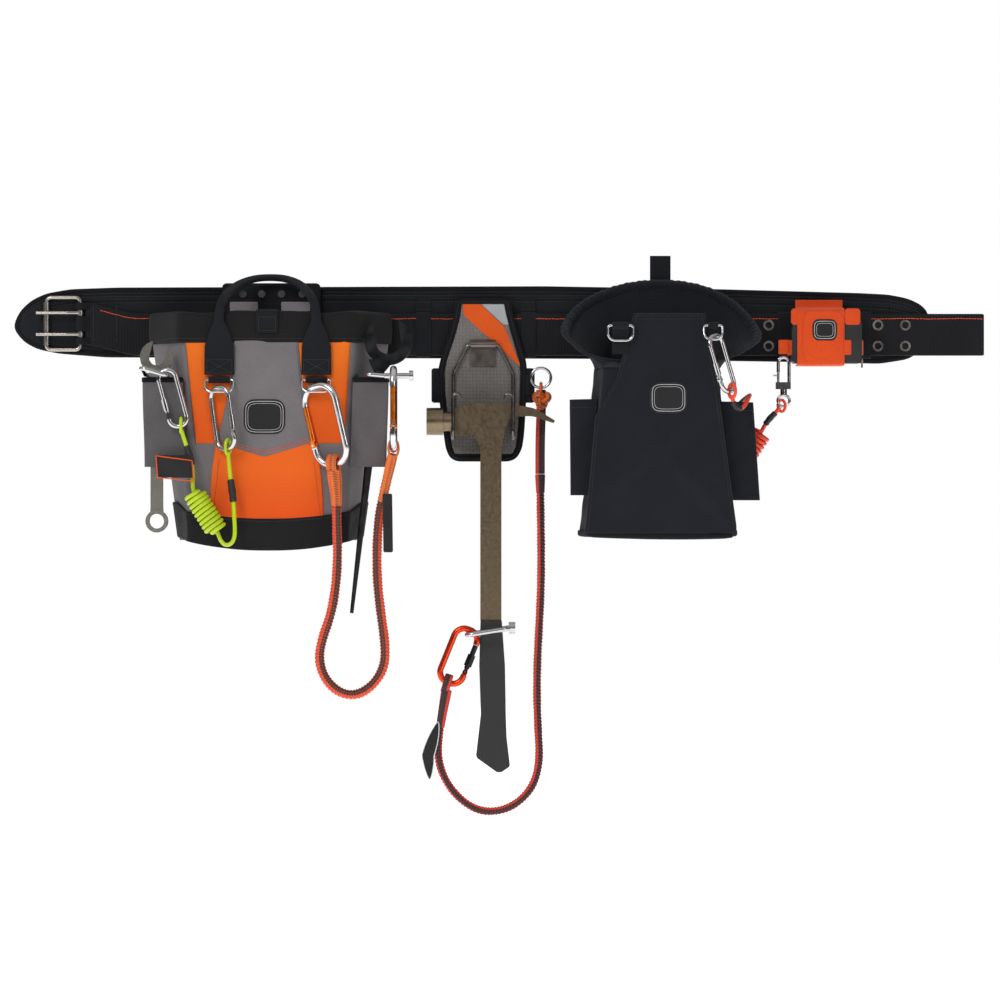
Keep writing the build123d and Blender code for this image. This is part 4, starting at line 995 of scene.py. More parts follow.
# ---- pouch --------------------------------------------------------------------------
@dataclass
class Pouch:
    """Soft tool pouch: hanger plate, shell with sewn panels, rolled collar, base cup, sleeves, handle and strap."""

    x: float = -243.0
    mouth: float = -24.0
    foot: float = -270.0
    band: float = -222.0

    def corners(self, z: Array, inset: float = 0.0) -> Array:
        """Four corners of the plan at heights z, wide at the back."""
        t = (self.mouth - z) / (self.mouth - self.foot)
        back, front = 146 - 36 * t - inset * 1.5, 102 - 8 * t - inset
        face, rear = -100 + 4 * t + inset, np.full_like(z, -22.0 - inset)
        return np.stack([np.stack([self.x - back, rear], -1), np.stack([self.x + back, rear], -1),
                         np.stack([self.x + front, face], -1), np.stack([self.x - front, face], -1)])

    def swell(self, x: Array, z: Array) -> Array:
        """How far the front stands off its flat plan: a low dome plus the cloth's slack."""
        across = np.cos(np.clip((x - self.x) / 105, -1, 1) * math.pi / 2)
        up = np.clip((-z - 40) / 80, 0, 1) * np.clip((z + 280) / 40, 0, 1)
        return 4.0 * across * ease(up) + waves(x, z, 0.6, 55)

    def face(self, x: Array, z: Array) -> Array:
        """Depth of the front."""
        t = (self.mouth - z) / (self.mouth - self.foot)
        turn = 4.5 * ease((np.abs(x - self.x) - (86 - 8 * t)) / 20) ** 2
        return -100 + 4 * t - self.swell(x, z) + turn

    def walls(self, z: Array, inset: float, soften: int = 16) -> Array:
        """Rings of the soft wall with the front's swell added where the wall faces forward."""
        p = skin(lambda h: self.corners(h, inset), z, soften)
        forward = ease((-p[..., 1] - 88) / 9)
        sides = ease((-p[..., 1] - 30) / 20) * (1 - forward)
        p[..., 1] -= forward * self.swell(p[..., 0], p[..., 2])
        p[..., 0] += sides * np.sign(p[..., 0] - self.x) * waves(p[..., 1], p[..., 2], 1.2, 60)
        return p

    def shell(self) -> None:
        """Grey shell: outer wall up, over the mouth and down inside."""
        k = 240
        up = np.linspace(-262, self.mouth + 3, 60)[:, None] * np.ones(k)
        down = np.linspace(self.mouth + 3, -258, 24)[:, None] * np.ones(k)
        rings = np.concatenate([self.walls(up, 0.0), self.walls(down, 2.4)])
        loft(rings).place("pouch_shell_cloth", GREY_CLOTH, "pouch", "grey_ballistic", ("pouch_shell",))

    def panels(self) -> None:
        """Orange strips, the grey centre with its pointed foot, and the orange lower panel."""
        z = stations(-146, -22, 60)
        left = np.interp(z, [-146, -22], [-329.5, -343.0])
        left_in = np.interp(z, [-146, -74, -22], [-303.0, -286.0, -283.0])
        right_in = np.interp(z, [-146, -74, -22], [-184.0, -203.0, -208.0])
        right = np.interp(z, [-146, -22], [-150.5, -143.0])
        strips = [panel(z, left, left_in, self.face, 1.5, edge=2.0, rows=20),
                  panel(z, right_in, right, self.face, 1.5, edge=2.0, rows=20)]
        Shell.join(strips).place("pouch_orange_strips", ORANGE_CLOTH, "pouch", "grey_ballistic")
        z = stations(-240, -140, 60)
        bow = 3.0 * np.sin(math.pi * np.clip((z + 240) / 100, 0, 1))
        low = panel(z, np.interp(z, [-240, -140], [-312.0, -304.5]) - bow,
                    np.interp(z, [-240, -140], [-176.5, -186.0]) + bow,
                    self.face, 1.5, edge=2.0, rows=60)
        low.place("pouch_orange_lower_panel", ORANGE_LOW, "pouch", "grey_ballistic")
        z = stations(-162, -22, 110)
        a = np.interp(z, [-162, -145, -74, -22], [-248.0, -304.8, -288.0, -284.0])
        b = np.interp(z, [-162, -143.5, -74, -22], [-247.0, -185.5, -201.5, -206.5])
        centre = panel(z, a, b, self.face, 2.5, edge=2.0, rows=60)
        centre.place("pouch_grey_centre_panel", GREY_CLOTH, "pouch", "grey_ballistic")

    def seams(self) -> None:
        """Double row of coloured stitches along the pointed foot, and quiet rows down the panels."""
        rows = []
        for up in (2.2, 5.4):
            path = np.array([(-303, 0, -144.5 + up), (-247.6, 0, -161 + up), (-187, 0, -143 + up)], float)
            path = resampled(path, 2.0)
            path[:, 1] = self.face(path[:, 0], path[:, 2]) - 2.55
            rows.append(stitches(path, 3.0, 2.4, 0.42))
        Shell.join(rows).place("pouch_point_stitching", ORANGE_THREAD, "pouch", "grey_ballistic")
        quiet = []
        for x0, z0, x1, z1, off in ((-341, -30, -331, -140, 1.6), (-145.5, -30, -152, -140, 1.6),
                                    (-281.5, -30, -286, -74, 2.6), (-209, -30, -204, -74, 2.6),
                                    (-301.5, -166, -309, -234, 1.6), (-188, -166, -180, -234, 1.6),
                                    (-309, -236, -180, -236, 1.6)):
            path = resampled(np.array([(x0, 0, z0), (x1, 0, z1)], float), 2.0)
            path[:, 1] = self.face(path[:, 0], path[:, 2]) - off
            quiet.append(stitches(path, 3.2, 2.3, 0.26))
        Shell.join(quiet).place("pouch_panel_stitching", GREY_THREAD, "pouch", "grey_ballistic")

    def base(self) -> None:
        """Black base cup; its top edge dips from the sides to the front."""
        k = 240
        level = np.zeros((1, k)) + self.band
        plan = self.walls(level, -1.6)[0]
        dip = ease((-plan[:, 1] - 40) / 55) * np.cos(np.clip((plan[:, 0] - self.x) / 130, -1, 1) * math.pi / 2) ** 0.6
        top = -216 - 20 * dip
        s = np.linspace(0, 1, 20)[:, None]
        foot = self.foot - 3.5 + 15 * np.clip(np.abs(plan[:, 0] - self.x) / 115, 0, 1.15) ** 2.4
        up = foot[None] + s * (top - foot)[None]
        tuck = self.walls(foot[None] - 0.8, 6.0)
        outer = self.walls(up, -1.8)
        inner = self.walls(up[::-1], 1.0)
        loft(np.concatenate([tuck, outer, inner[:-1]])).place(
            "pouch_base_cup", COLLAR_CLOTH, "pouch", "black_canvas", ("pouch_base",))
        hem = outer[-1] - (0, 0.3, 3.0)
        stitches(resampled(hem, 2.0, True), 3.4, 2.4, 0.3).place(
            "pouch_base_stitching", GREY_THREAD, "pouch", "black_canvas")

    def collar(self) -> None:
        """Rolled black collar: a slack band that leans out, with a padded roll at its top and a hem at its foot."""
        k = 260

        def ring(z: float, inset: float, droop: float = 0.0) -> Array:
            """One ring of the collar."""
            level = np.zeros((1, k)) + self.mouth
            p = skin(lambda h: self.corners(h, inset), level, 34)[0]
            p[:, 1] = np.clip(p[:, 1], -104.3, -22.0)
            x = p[:, 0]
            p[:, 2] = z + droop * (1.2 * np.sin(x / 23.0) + 0.8 * np.sin(x / 11.0 + 2) - 1.0)
            bow = 1.1 * np.sin(x / 19.0 + z / 9) * ease((-p[:, 1] - 30) / 30)
            p[:, 1] = np.maximum(p[:, 1] + np.maximum(bow, -0.2), -104.3)
            return p

        levels = [(-25.5, -1.0, 0), (-25, -2.6, 0), (-22, -3.2, 0), (-17, -3.8, 0), (-10, -4.0, 0.2), (-3, -3.9, 0.4),
                  (4, -3.8, 0.7), (9, -3.4, 1), (12, -2.2, 1), (13, -0.4, 1), (12.2, 1.6, 1), (8, 2.6, 1),
                  (0, 2.8, 0.5),
                  (-12, 2.6, 0), (-22, 2.4, 0), (-24.5, 1.5, 0)]
        rings = np.array([ring(*level) for level in levels])
        loft(rings, round_trip=True).place(
            "pouch_collar_roll", COLLAR_CLOTH, "pouch", "black_canvas", ("pouch_collar",))
        hem = ring(-20.5, -4.1)
        front = hem[hem[:, 1] < -60]
        front = front[np.argsort(front[:, 0])] - (0, 0.35, 0)
        stitches(resampled(front, 2.0), 3.4, 2.4, 0.28).place(
            "pouch_collar_stitching", GREY_THREAD, "pouch", "black_canvas")

    def hanger(self) -> None:
        """Hanger plate with two pale windows, its belt tunnel and edge stitching."""
        z = stations(-44, 49, 40)
        one = np.ones(40)
        plate = panel(z, one * -302, one * -183, flat(-17.0), 2.6, edge=1.5, rows=50, corner=5, both=False)
        tunnel = hoop(self.x + 0.5, 117, 14.2, -41.0, -11.6, -17.2, 1.0)
        Shell.join([plate, tunnel]).place(
            "pouch_hanger_plate", BLACK_CLOTH, "pouch", "black_pad_fabric", ("pouch_hanger",))
        z = stations(14.5, 26.5, 14)
        one = np.ones(14)
        windows = [panel(z, one * a, one * b, flat(-19.3), 0.7, edge=0.8, rows=20, corner=2.0)
                   for a, b in ((-293, -258), (-231, -195))]
        Shell.join(windows).place("pouch_hanger_windows", Cloth("pale_window_cloth", (0.30, 0.27, 0.29), pitch=1.5),
                                  "pouch", "grey_ballistic")
        rim = softened([(-299, -19.75, -20), (-299, -19.75, 46), (-186, -19.75, 46), (-186, -19.75, -20)], 2, False, 2)
        lines = [stitches(rim, 3.4, 2.4, 0.26)]
        for a, b in ((-295.5, -255.5), (-233.5, -192.5)):
            frame_line = np.array([(a, -19.75, 12), (b, -19.75, 12), (b, -19.75, 29), (a, -19.75, 29)], float)
            lines.append(stitches(resampled(frame_line, 2, True), 3.0, 2.2, 0.24))
        Shell.join(lines).place("pouch_hanger_stitching", GREY_THREAD, "pouch", "black_pad_fabric")

    def handle(self) -> None:
        """Carrying handle: two stitched bands that gather into a folded strap over the top, with eyes for the rings."""
        half = [(-58, -105.6, -64), (-58, -105.8, -40), (-58, -106.4, -20), (-58, -108, -4), (-58, -110, 12),
                (-54, -107, 26), (-46, -86, 38), (-36, -62, 46.5), (-24, -44, 52), (-11, -34, 55)]
        path = np.array(half + [(-p[0], p[1], p[2]) for p in reversed(half)], float) + (self.x, 0, 0)
        path = softened(path, 3, False, 1.8)
        far = np.linspace(0, 1, len(path))
        edge = np.minimum(far, 1 - far)
        wide = np.interp(edge, [0, 0.09, 0.135, 0.17, 0.5], [18, 17.5, 12.0, 5.4, 4.3])
        thick = np.interp(edge, [0, 0.09, 0.135, 0.17, 0.5], [1.1, 1.2, 2.0, 3.2, 3.4])
        strap = sweep(path, wide, thick, side=(1, 0, 0), count=28, power=3.2)
        eyes, boxes = [], []
        for x in (self.x - 58, self.x + 58):
            a = np.linspace(-0.5 * math.pi, 1.5 * math.pi, 30)
            ring = np.stack([0 * a + x, -105.8 + 3.1 * np.cos(a), -70 + 3.1 * np.sin(a)], -1)
            eyes.append(sweep(ring[:-1], 13, 0.9, side=(1, 0, 0), round_trip=True, count=20, power=5))
            box = np.array([(x - 15, -107, -62), (x + 15, -107, -62), (x + 15, -107, -46), (x - 15, -107, -46)], float)
            boxes.append(stitches(resampled(box, 2, True), 2.6, 2.0, 0.3))
            for s in (-1, 1):
                run = np.array([(x - 15 * s, -107.2, -62), (x + 15 * s, -107.2, -46)], float)
                boxes.append(stitches(resampled(run, 2), 2.6, 2.0, 0.3))
        Shell.join([strap, *eyes]).place(
            "pouch_handle_webbing", BLACK_TAPE, "pouch", "black_webbing", ("pouch_handle",))
        Shell.join(boxes).place("pouch_handle_stitching", GREY_THREAD, "pouch", "black_webbing")

    def strap(self) -> None:
        """Closure strap, folded from the plate over the collar and down the front."""
        path = softened([(-244, -20.95, 24), (-244, -21.2, 14.6), (-244, -28, 14.2), (-244, -98, 14.0),
                         (-244, -106, 13), (-244, -106.0, 2), (-244, -105.8, -14)], 3, False, 1.5)
        sweep(path, 13, 0.82, side=(1, 0, 0), count=28, power=5).place(
            "pouch_closure_webbing", BLACK_TAPE, "strap", "black_webbing", ("closure_strap",))
        box = np.array([(-254, -107.1, -11), (-234, -107.1, -11), (-234, -107.1, 5), (-254, -107.1, 5)], float)
        stitches(resampled(box, 2, True), 2.8, 2.1, 0.28).place(
            "pouch_closure_stitching", GREY_THREAD, "strap", "black_webbing")

    def sleeves(self) -> None:
        """Tool sleeve at each side: a grey tube sewn to the gusset, with a bound black mouth."""
        tubes, bands = [], []
        for outer, side in ((-393.0, -1), (-99.0, 1)):
            def plan(z: Array, inset: float, outer: float = outer, side: int = side) -> Array:
                """Corners of the sleeve at heights z."""
                c = self.corners(z)
                rear, corner = (c[1], c[2]) if side > 0 else (c[0], c[3])
                slope = (rear[..., 0] - corner[..., 0]) / (rear[..., 1] - corner[..., 1])
                gap = side * (0.4 + inset * 1.2)
                near, far = -106 + inset, -80.5 - inset
                at_near = corner[..., 0] + gap
                at_far = corner[..., 0] + slope * (far - corner[..., 1]) + gap
                one = np.ones_like(z)
                drawn = (outer - side * inset) - side * 2.5 * ease((-z - 70) / 104)
                return np.stack([np.stack([at_near, one * near], -1), np.stack([at_far, one * far], -1),
                                 np.stack([drawn, one * far], -1), np.stack([drawn, one * near], -1)])
            k = 120
            outside = skin(lambda h: plan(h, 0.0), np.linspace(-174, -70, 40)[:, None] * np.ones(k), 5)
            inside = skin(lambda h: plan(h, 1.8), np.linspace(-70, -174, 20)[:, None] * np.ones(k), 5)
            outside[..., 1] += waves(outside[..., 0], outside[..., 2], 0.7, 50)
            tubes.append(loft(np.concatenate([outside, inside]), round_trip=True))
            for height in (0, -1):
                ring = 0.5 * (outside[height] + inside[-1 - height])
                bands.append(sweep(ring, 1.9, 3.2, side=(0, 1, 0), round_trip=True, count=12, power=3))
        Shell.join(tubes).place("pouch_sleeve_tubes", GREY_SIDE, "pouch", "grey_ballistic", ("tool_sleeves",))
        Shell.join([b for b in bands[1::2]]).place("pouch_sleeve_binding", BLACK_BIND, "pouch", "black_canvas")

    def build(self) -> None:
        """Builds the pouch and finishes its rings and rivets."""
        for step in (self.shell, self.panels, self.seams, self.base, self.collar, self.hanger, self.handle, self.strap,
                     self.sleeves):
            step()
        plain_patch("pouch_plain_patch", -247, -114, 50, 42, lambda x, z: self.face(x, z) - 2.4,
                    "pouch", "grey_ballistic")
        dress(STEEL, "pouch_hardware", "pouch_carabiner", "pouch_carabiner_gate")
        dress(ALUMINIUM, "large_carabiner")
        dress(ORANGE_METAL, "large_carabiner_gate", "spud_carabiner_gate")
        dress(SATIN_STEEL, "combination_wrench")
        dress(BLACK_OXIDE, "spud_wrench")
        dress(STEEL, "wrench_shackle", "wrench_carabiner", "wrench_carabiner_gate", "spud_shackle")
        dress(ALUMINIUM, "spud_carabiner")


# ---- holster and hammer -------------------------------------------------------------
@dataclass
class Holster:
    """Hammer holster: bound panel, mesh face with a diagonal stripe, wings, bracket and side ring."""

    x: float = 14.0

    def outline(self, z: Array, inset: float) -> tuple[Array, Array]:
        """Left and right limits of the panel at heights z."""
        levels = [-166, -160, -150, -137, -125, -90, -60, -46.5, -30, -10, 10, 28.5]
        left = np.interp(z, levels, [-30, -41, -45, -47, -48.5, -53, -54.5, -52, -46.5, -40, -35, -33])
        right = np.interp(z, levels, [30, 42, 47, 49, 50, 52, 53, 52, 47, 41, 36, 32.5])
        return self.x + left + inset, self.x + right - inset

    def build_panel(self) -> None:
        """Padded back panel with its binding, belt tunnel and side wings."""
        z = stations(-166, 28.5, 130)
        low, high = self.outline(z, 0.0)
        back = panel(z, low, high, flat(-19.7), 3.8, edge=4, rows=44)
        tunnel = hoop(self.x, 64, 14.2, -41.0, -11.6, -17.4, 1.2)
        wings = []
        for side in (-1, 1):
            w = stations(-96, -54, 24)
            inner, outer = np.full(24, self.x + side * 46.0), np.full(24, self.x + side * 62.5)
            wings.append(panel(w, np.minimum(inner, outer), np.maximum(inner, outer), flat(-19.4), 3.6, edge=2,
                               corner=3))
            wings.append(panel(stations(-88, -62, 16), np.full(16, self.x + side * 54 - 3),
                               np.full(16, self.x + side * 54 + 3),
                               flat(-22.8), 1.8, edge=1, corner=2))
        base = Shell.join([back, tunnel, *wings]).place(
            "holster_padded_panel", BLACK_CLOTH, "holster", "holster_panel_fabric", ("holster_panel",))
        low, high = self.outline(z, 3.2)
        rim = np.concatenate([np.stack([low, 0 * z - 21.8, z], -1), np.stack([high, 0 * z - 21.8, z], -1)[::-1]])
        rim[:, 2] = np.clip(rim[:, 2], -163.5, 26.0)
        rim = resampled(rim, 1.8, True)
        for _ in range(5):
            rim = 0.25 * np.roll(rim, 1, 0) + 0.5 * rim + 0.25 * np.roll(rim, -1, 0)
        sweep(rim, 3.0, 3.6, side=(0, 1, 0), round_trip=True, count=16, power=3.4).place(
            "holster_edge_binding", BLACK_BIND, "holster", "holster_panel_fabric")
        seam = resampled(rim * (1, 0, 1) + (0, -24.9, 0), 2.0, True)
        stitches(seam, 3.2, 2.3, 0.25, round_trip=True).place(
            "holster_edge_stitching", GREY_THREAD, "holster", "holster_panel_fabric")

    def build_face(self) -> None:
        """Mesh face, the orange diagonal and the pale corner above it."""
        z = stations(-158, 24, 120)
        low, high = self.outline(z, 7.5)
        panel(z, low, high, flat(-23.0), 1.8, edge=2, rows=44).place(
            "holster_mesh_face", MESH_CLOTH, "holster", "grey_mesh", ("holster_face",))
        z = stations(-53, 23.4, 70)
        top = np.interp(z, [-53, -3.5, 23.4], [60.5, 39.6, 11.0])
        low_edge = np.interp(z, [-53, 9.7, 23.4], [59.8, -9.5, -11.0])
        stripe = panel(z, low_edge, np.minimum(top, self.outline(z, 7.6)[1]), flat(-24.6), 0.8, edge=0.8, rows=24)
        stripe.place("holster_orange_stripe", ORANGE_TRIM, "holster", "grey_mesh")
        z = stations(-1.5, 23.4, 30)
        left = np.interp(z, [-1.5, 23.4], [38.6, 11.6])
        right = self.outline(z, 7.8)[1]
        panel(z, np.minimum(left, right - 0.2), right, flat(-24.6), 0.8, edge=0.8, rows=16).place(
            "holster_silver_corner", SILVER_CLOTH, "holster", "grey_mesh")
        plain_patch("holster_plain_patch", 14, -124, 34, 26, flat(-24.8), "holster", "grey_mesh")

    def build(self) -> None:
        """Builds the holster, its hammer's finishes and the cradle's."""
        self.build_panel()
        self.build_face()
        dress(BRACKET_STEEL, "cradle_bracket")
        dress(DARK_STEEL, "wire_cradle")
        dress(STEEL, "holster_ring", "hammer_shackle")
        dress(BRONZE, "hammer_body")
        dress(RUBBER, "hammer_grip")
        dress(RED_METAL, "hammer_carabiner")
        dress(BLACK_METAL, "hammer_carabiner_gate")


# ---- bolt bag -----------------------------------------------------------------------
@dataclass
class BoltBag:
    """Canvas bolt bag: belt tunnel, slack shell, raised hood with a puckered roll, apron, pockets and ring tabs."""

    x: float = 224.0
    mouth: float = -56.0
    foot: float = -258.0
    front: float = -130.0

    def corners(self, z: Array, inset: float = 0.0) -> Array:
        """Six corners of the plan at heights z."""
        t = (self.mouth - z) / (self.mouth - self.foot)
        left, right = self.x - 76 - 18 * t + inset, self.x + 74 + 22 * t - inset
        tuck = 14 + 10 * t
        one = np.ones_like(z)
        rear, face = one * (-22.0 - inset), one * (self.front + inset)
        return np.stack([np.stack([left + tuck, rear], -1), np.stack([right - tuck, rear], -1),
                         np.stack([right, rear - 45], -1), np.stack([right - 10, face], -1),
                         np.stack([left + 10, face], -1), np.stack([left, rear - 45], -1)])

    def slack(self, x: Array, z: Array) -> Array:
        """Sag of the front cloth: two diagonal folds and a low belly."""
        belly = np.sin(np.clip((self.mouth - z) / 202, 0, 1) * math.pi)
        belly = belly * np.cos(np.clip((x - self.x) / 100, -1, 1) * 1.5)
        fold = np.exp(-(((x - self.x) * 0.62 + (z + 150) * -0.78) / 13) ** 2) * np.clip((-z - 60) / 90, 0, 1)
        other = np.exp(-(((x - self.x - 40) * 0.75 + (z + 190) * 0.66) / 11) ** 2) * np.clip((-z - 90) / 90, 0, 1)
        return 3.4 * belly + 3.6 * fold + 2.8 * other + waves(x, z, 1.0, 60)

    def walls(self, z: Array, inset: float) -> Array:
        """Rings of the slack wall."""
        p = skin(lambda h: self.corners(h, inset), z, 6)
        forward = ease((-p[..., 1] - 112) / 14)
        p[..., 1] -= forward * self.slack(p[..., 0], p[..., 2])
        p[..., 0] += (1 - forward) * waves(p[..., 1], p[..., 2], 1.3, 55)
        p[..., 2] -= forward * ease((-p[..., 2] - 235) / 20) * 3.0 * np.cos((p[..., 0] - self.x - 20) / 70)
        return p

    def shell(self) -> None:
        """Canvas shell, outside up and inside down, with a bound foot."""
        k = 264
        up = np.linspace(self.foot + 1, self.mouth, 60)[:, None] * np.ones(k)
        down = np.linspace(self.mouth, self.foot + 6, 24)[:, None] * np.ones(k)
        tuck = self.walls(np.full((1, k), self.foot), 6.0)
        loft(np.concatenate([tuck, self.walls(up, 0), self.walls(down, 2.2)])).place(
            "bag_canvas_shell", BLACK_CANVAS, "belt", "black_canvas", ("bag_shell",))
        foot = self.walls(np.full((1, k), self.foot + 5.0), -0.4)[0]
        sweep(foot, 1.6, 3.4, side=(0, 1, 0), round_trip=True, count=10, power=3).place(
            "bag_foot_binding", BLACK_BIND, "belt", "black_canvas")

    def rim_path(self) -> Array:
        """Middle line of the roll at the mouth."""
        return softened([(190, -25.9, 46), (254, -25.9, 48), (308, -25.9, 31), (343, -48, -6), (344, -84, -26),
                         (296, -119, -50), (150, -119, -50), (112, -84, -20), (115, -46, 2),
                         (140, -26, 27)], 3, True, 1.0)

    def hood(self) -> None:
        """Raised hood: cloth ruled from the shell's mouth to the roll, sagging between, and the puckered roll."""
        rim = self.rim_path()
        k = 240
        rim = resampled(rim, 1.0, True)
        pick = (np.arange(k) * len(rim) / k).astype(int)
        top = rim[pick]
        middle = np.array((self.x + 2, -74.0))
        neck = skin(self.corners, np.full((1, 600), self.mouth), 6)[0]
        angle = np.arctan2(neck[:, 1] - middle[1], neck[:, 0] - middle[0])
        want = np.arctan2(top[:, 1] - middle[1], top[:, 0] - middle[0])
        order = np.argsort(angle)
        foot = np.stack([np.interp(want, angle[order], neck[order, c], period=2 * math.pi) for c in range(3)], -1)
        rings = []
        for t, inset in [(t, 0.0) for t in np.linspace(0, 1, 22)] + [(t, 2.0) for t in np.linspace(1, 0, 12)]:
            ring = foot * (1 - t) + top * t
            inward = middle - ring[:, :2]
            inward /= np.linalg.norm(inward, axis=1, keepdims=True)
            sag = 5.0 * math.sin(math.pi * t) * ease((ring[:, 1] + 118) / 30)
            ring[:, :2] += inward * (inset + sag[:, None] + waves(ring[:, 0], ring[:, 2], 1.0, 45)[:, None])
            ring[:, 1] = np.minimum(ring[:, 1], -21.0 - inset)
            rings.append(ring)
        loft(np.array(rings), round_trip=True).place("bag_hood_cloth", BLACK_CANVAS, "belt", "black_canvas")
        far = np.arange(len(rim)) * 1.0
        pucker = 1 + 0.05 * np.sin(far * 2 * math.pi / 7.5) + 0.04 * np.sin(far * 2 * math.pi / 17.3 + 1)
        pucker = pucker * (0.34 + 0.66 * ease((rim[:, 1] + 92) / 30) * ease((rim[:, 2] + 42) / 18))
        sweep(rim, 5.9 * pucker, 5.9 * pucker, side=(0, 1, 0), round_trip=True, count=22).place(
            "bag_puckered_roll", BLACK_CANVAS, "belt", "black_canvas", ("bag_rim",))

    def apron(self) -> None:
        """Front apron from its hem above the mouth down to the foot, crowned between two edge folds."""
        z = stations(-254, 9, 130)
        low = np.interp(z, [-254, -235, -114, -66, -20, 9], [135, 137, 148, 174, 186, 194])
        high = np.interp(z, [-254, -244, -79, -20, 5, 9], [316, 316, 294, 284, 279, 279])

        def depth(px: Array, pz: Array) -> Array:
            """Front of the shell, and straight up above its mouth."""
            return self.front - 0.3 - self.slack(px, pz) * ease((-pz - 40) / 50)

        shape = panel(z, low, high, depth, 2.4, edge=2.6, rows=70, crown=0.5, both=True)
        shape.place("bag_front_apron", BLACK_CANVAS, "belt", "black_canvas")
        rows = []
        for off in (3.5, 7.0):
            path = np.stack([np.linspace(197, 276, 50), np.zeros(50), np.full(50, 9.0 - off)], -1)
            path[:, 1] = depth(path[:, 0], path[:, 2]) - 2.9
            rows.append(stitches(path, 3.2, 2.3, 0.26))
        for side in (low + 4.0, high - 4.0):
            path = np.stack([side, depth(side, z) - 2.7, z], -1)[4:-4]
            rows.append(stitches(path, 3.4, 2.4, 0.26))
        Shell.join(rows).place("bag_apron_stitching", GREY_THREAD, "belt", "black_canvas")
        plain_patch("bag_plain_patch", 235, -92, 44, 37, lambda px, pz: depth(px, pz) - 2.8, "belt", "black_canvas")

    def pockets(self) -> None:
        """Side pocket at each side: a slack open box sewn to the wall, with a hemmed mouth."""
        boxes, hems = [], []
        for side, high, low, far_top, far_low in ((-1, -93, -208, 106, 105), (1, -96, -214, 113, 121)):
            def plan(z: Array, inset: float, side: int = side, high: float = high, low: float = low,
                     far_top: float = far_top, far_low: float = far_low) -> Array:
                """Corners of the pocket at heights z."""
                c = self.corners(z)
                wall, face = (c[2], c[3]) if side > 0 else (c[5], c[4])
                t = (high - z) / (high - low)
                out = self.x + side * (far_top + t * (far_low - far_top)) - side * inset
                slope = (face[..., 0] - wall[..., 0]) / (face[..., 1] - wall[..., 1])
                rear, near = wall[..., 1] - 4 - inset, face[..., 1] + 14 + inset
                gap = side * (0.4 + inset)
                return np.stack([np.stack([wall[..., 0] + slope * (rear - wall[..., 1]) + gap, rear], -1),
                                 np.stack([wall[..., 0] + slope * (near - wall[..., 1]) + gap, near], -1),
                                 np.stack([out, near + 4], -1), np.stack([out, rear - 4], -1)])
            k = 160
            outside = skin(lambda h: plan(h, 0.0), np.linspace(low, high, 36)[:, None] * np.ones(k), 4)
            inside = skin(lambda h: plan(h, 1.8), np.linspace(high, low + 3, 20)[:, None] * np.ones(k), 4)
            dip = 4.0 * ease((outside[-1:, :, 0] - self.x) * side / 130 - 0.55)
            rise = np.linspace(0, 1, 36)[:, None] ** 3
            outside[..., 2] -= dip * rise
            inside[..., 2] -= dip * rise[::-1][:20]
            outside[..., 1] += waves(outside[..., 0], outside[..., 2], 1.0, 45)
            boxes.append(loft(np.concatenate([outside, inside])))
            hems.append(stitches(resampled(outside[-4] - (0, 0.4, 0), 2, True), 3.2, 2.3, 0.26))
        Shell.join(boxes).place("bag_side_pockets", BLACK_CANVAS, "belt", "black_canvas", ("bag_pockets",))
        Shell.join(hems).place("bag_pocket_stitching", GREY_THREAD, "belt", "black_canvas")

    def tabs(self) -> None:
        """Ring tabs: short straps folded round each ring's bar."""
        made = []
        for x, half in ((self.x - 46, 10.0), (self.x + 64, 6.0)):
            path = softened([(x, -132.9, -40), (x, -133.6, -20), (x, -134.6, -10), (x, -140.6, -8.5), (x, -141.0, -3.5),
                             (x, -137.8, -2.4), (x, -134.4, -3.4), (x, -133.4, -4)], 3, False, 0.8)
            made.append(sweep(path, half, 0.8, side=(1, 0, 0), count=20, power=5))
        Shell.join(made).place("bag_ring_straps", BLACK_TAPE, "belt", "black_webbing", ("bag_ring_tabs",))

    def tunnel(self) -> None:
        """Belt tunnel, back plate and the strap that stands above the belt."""
        z = stations(-46, 46, 40)
        one = np.ones(40)
        plate = panel(z, one * 169, one * 279, flat(-17.0), 2.6, edge=1.5, rows=40, corner=4)
        loop = hoop(self.x, 110, 14.2, -41.0, -11.6, -17.2, 1.2)
        path = softened([(228.5, -18.6, 38), (228.5, -18.4, 60), (228.5, -18.8, 82)], 2, False, 2)
        strap = sweep(path, 12.5, 1.3, side=(1, 0, 0), count=24, power=5)
        Shell.join([plate, loop, strap]).place("bag_belt_tunnel", BLACK_TAPE, "belt", "black_canvas", ("bag_hanger",))

    def build(self) -> None:
        """Builds the bag and finishes its rings."""
        for step in (self.tunnel, self.shell, self.hood, self.apron, self.pockets, self.tabs):
            step()
        dress(STEEL, "bag_ring_free", "bag_carabiner", "bag_carabiner_gate")


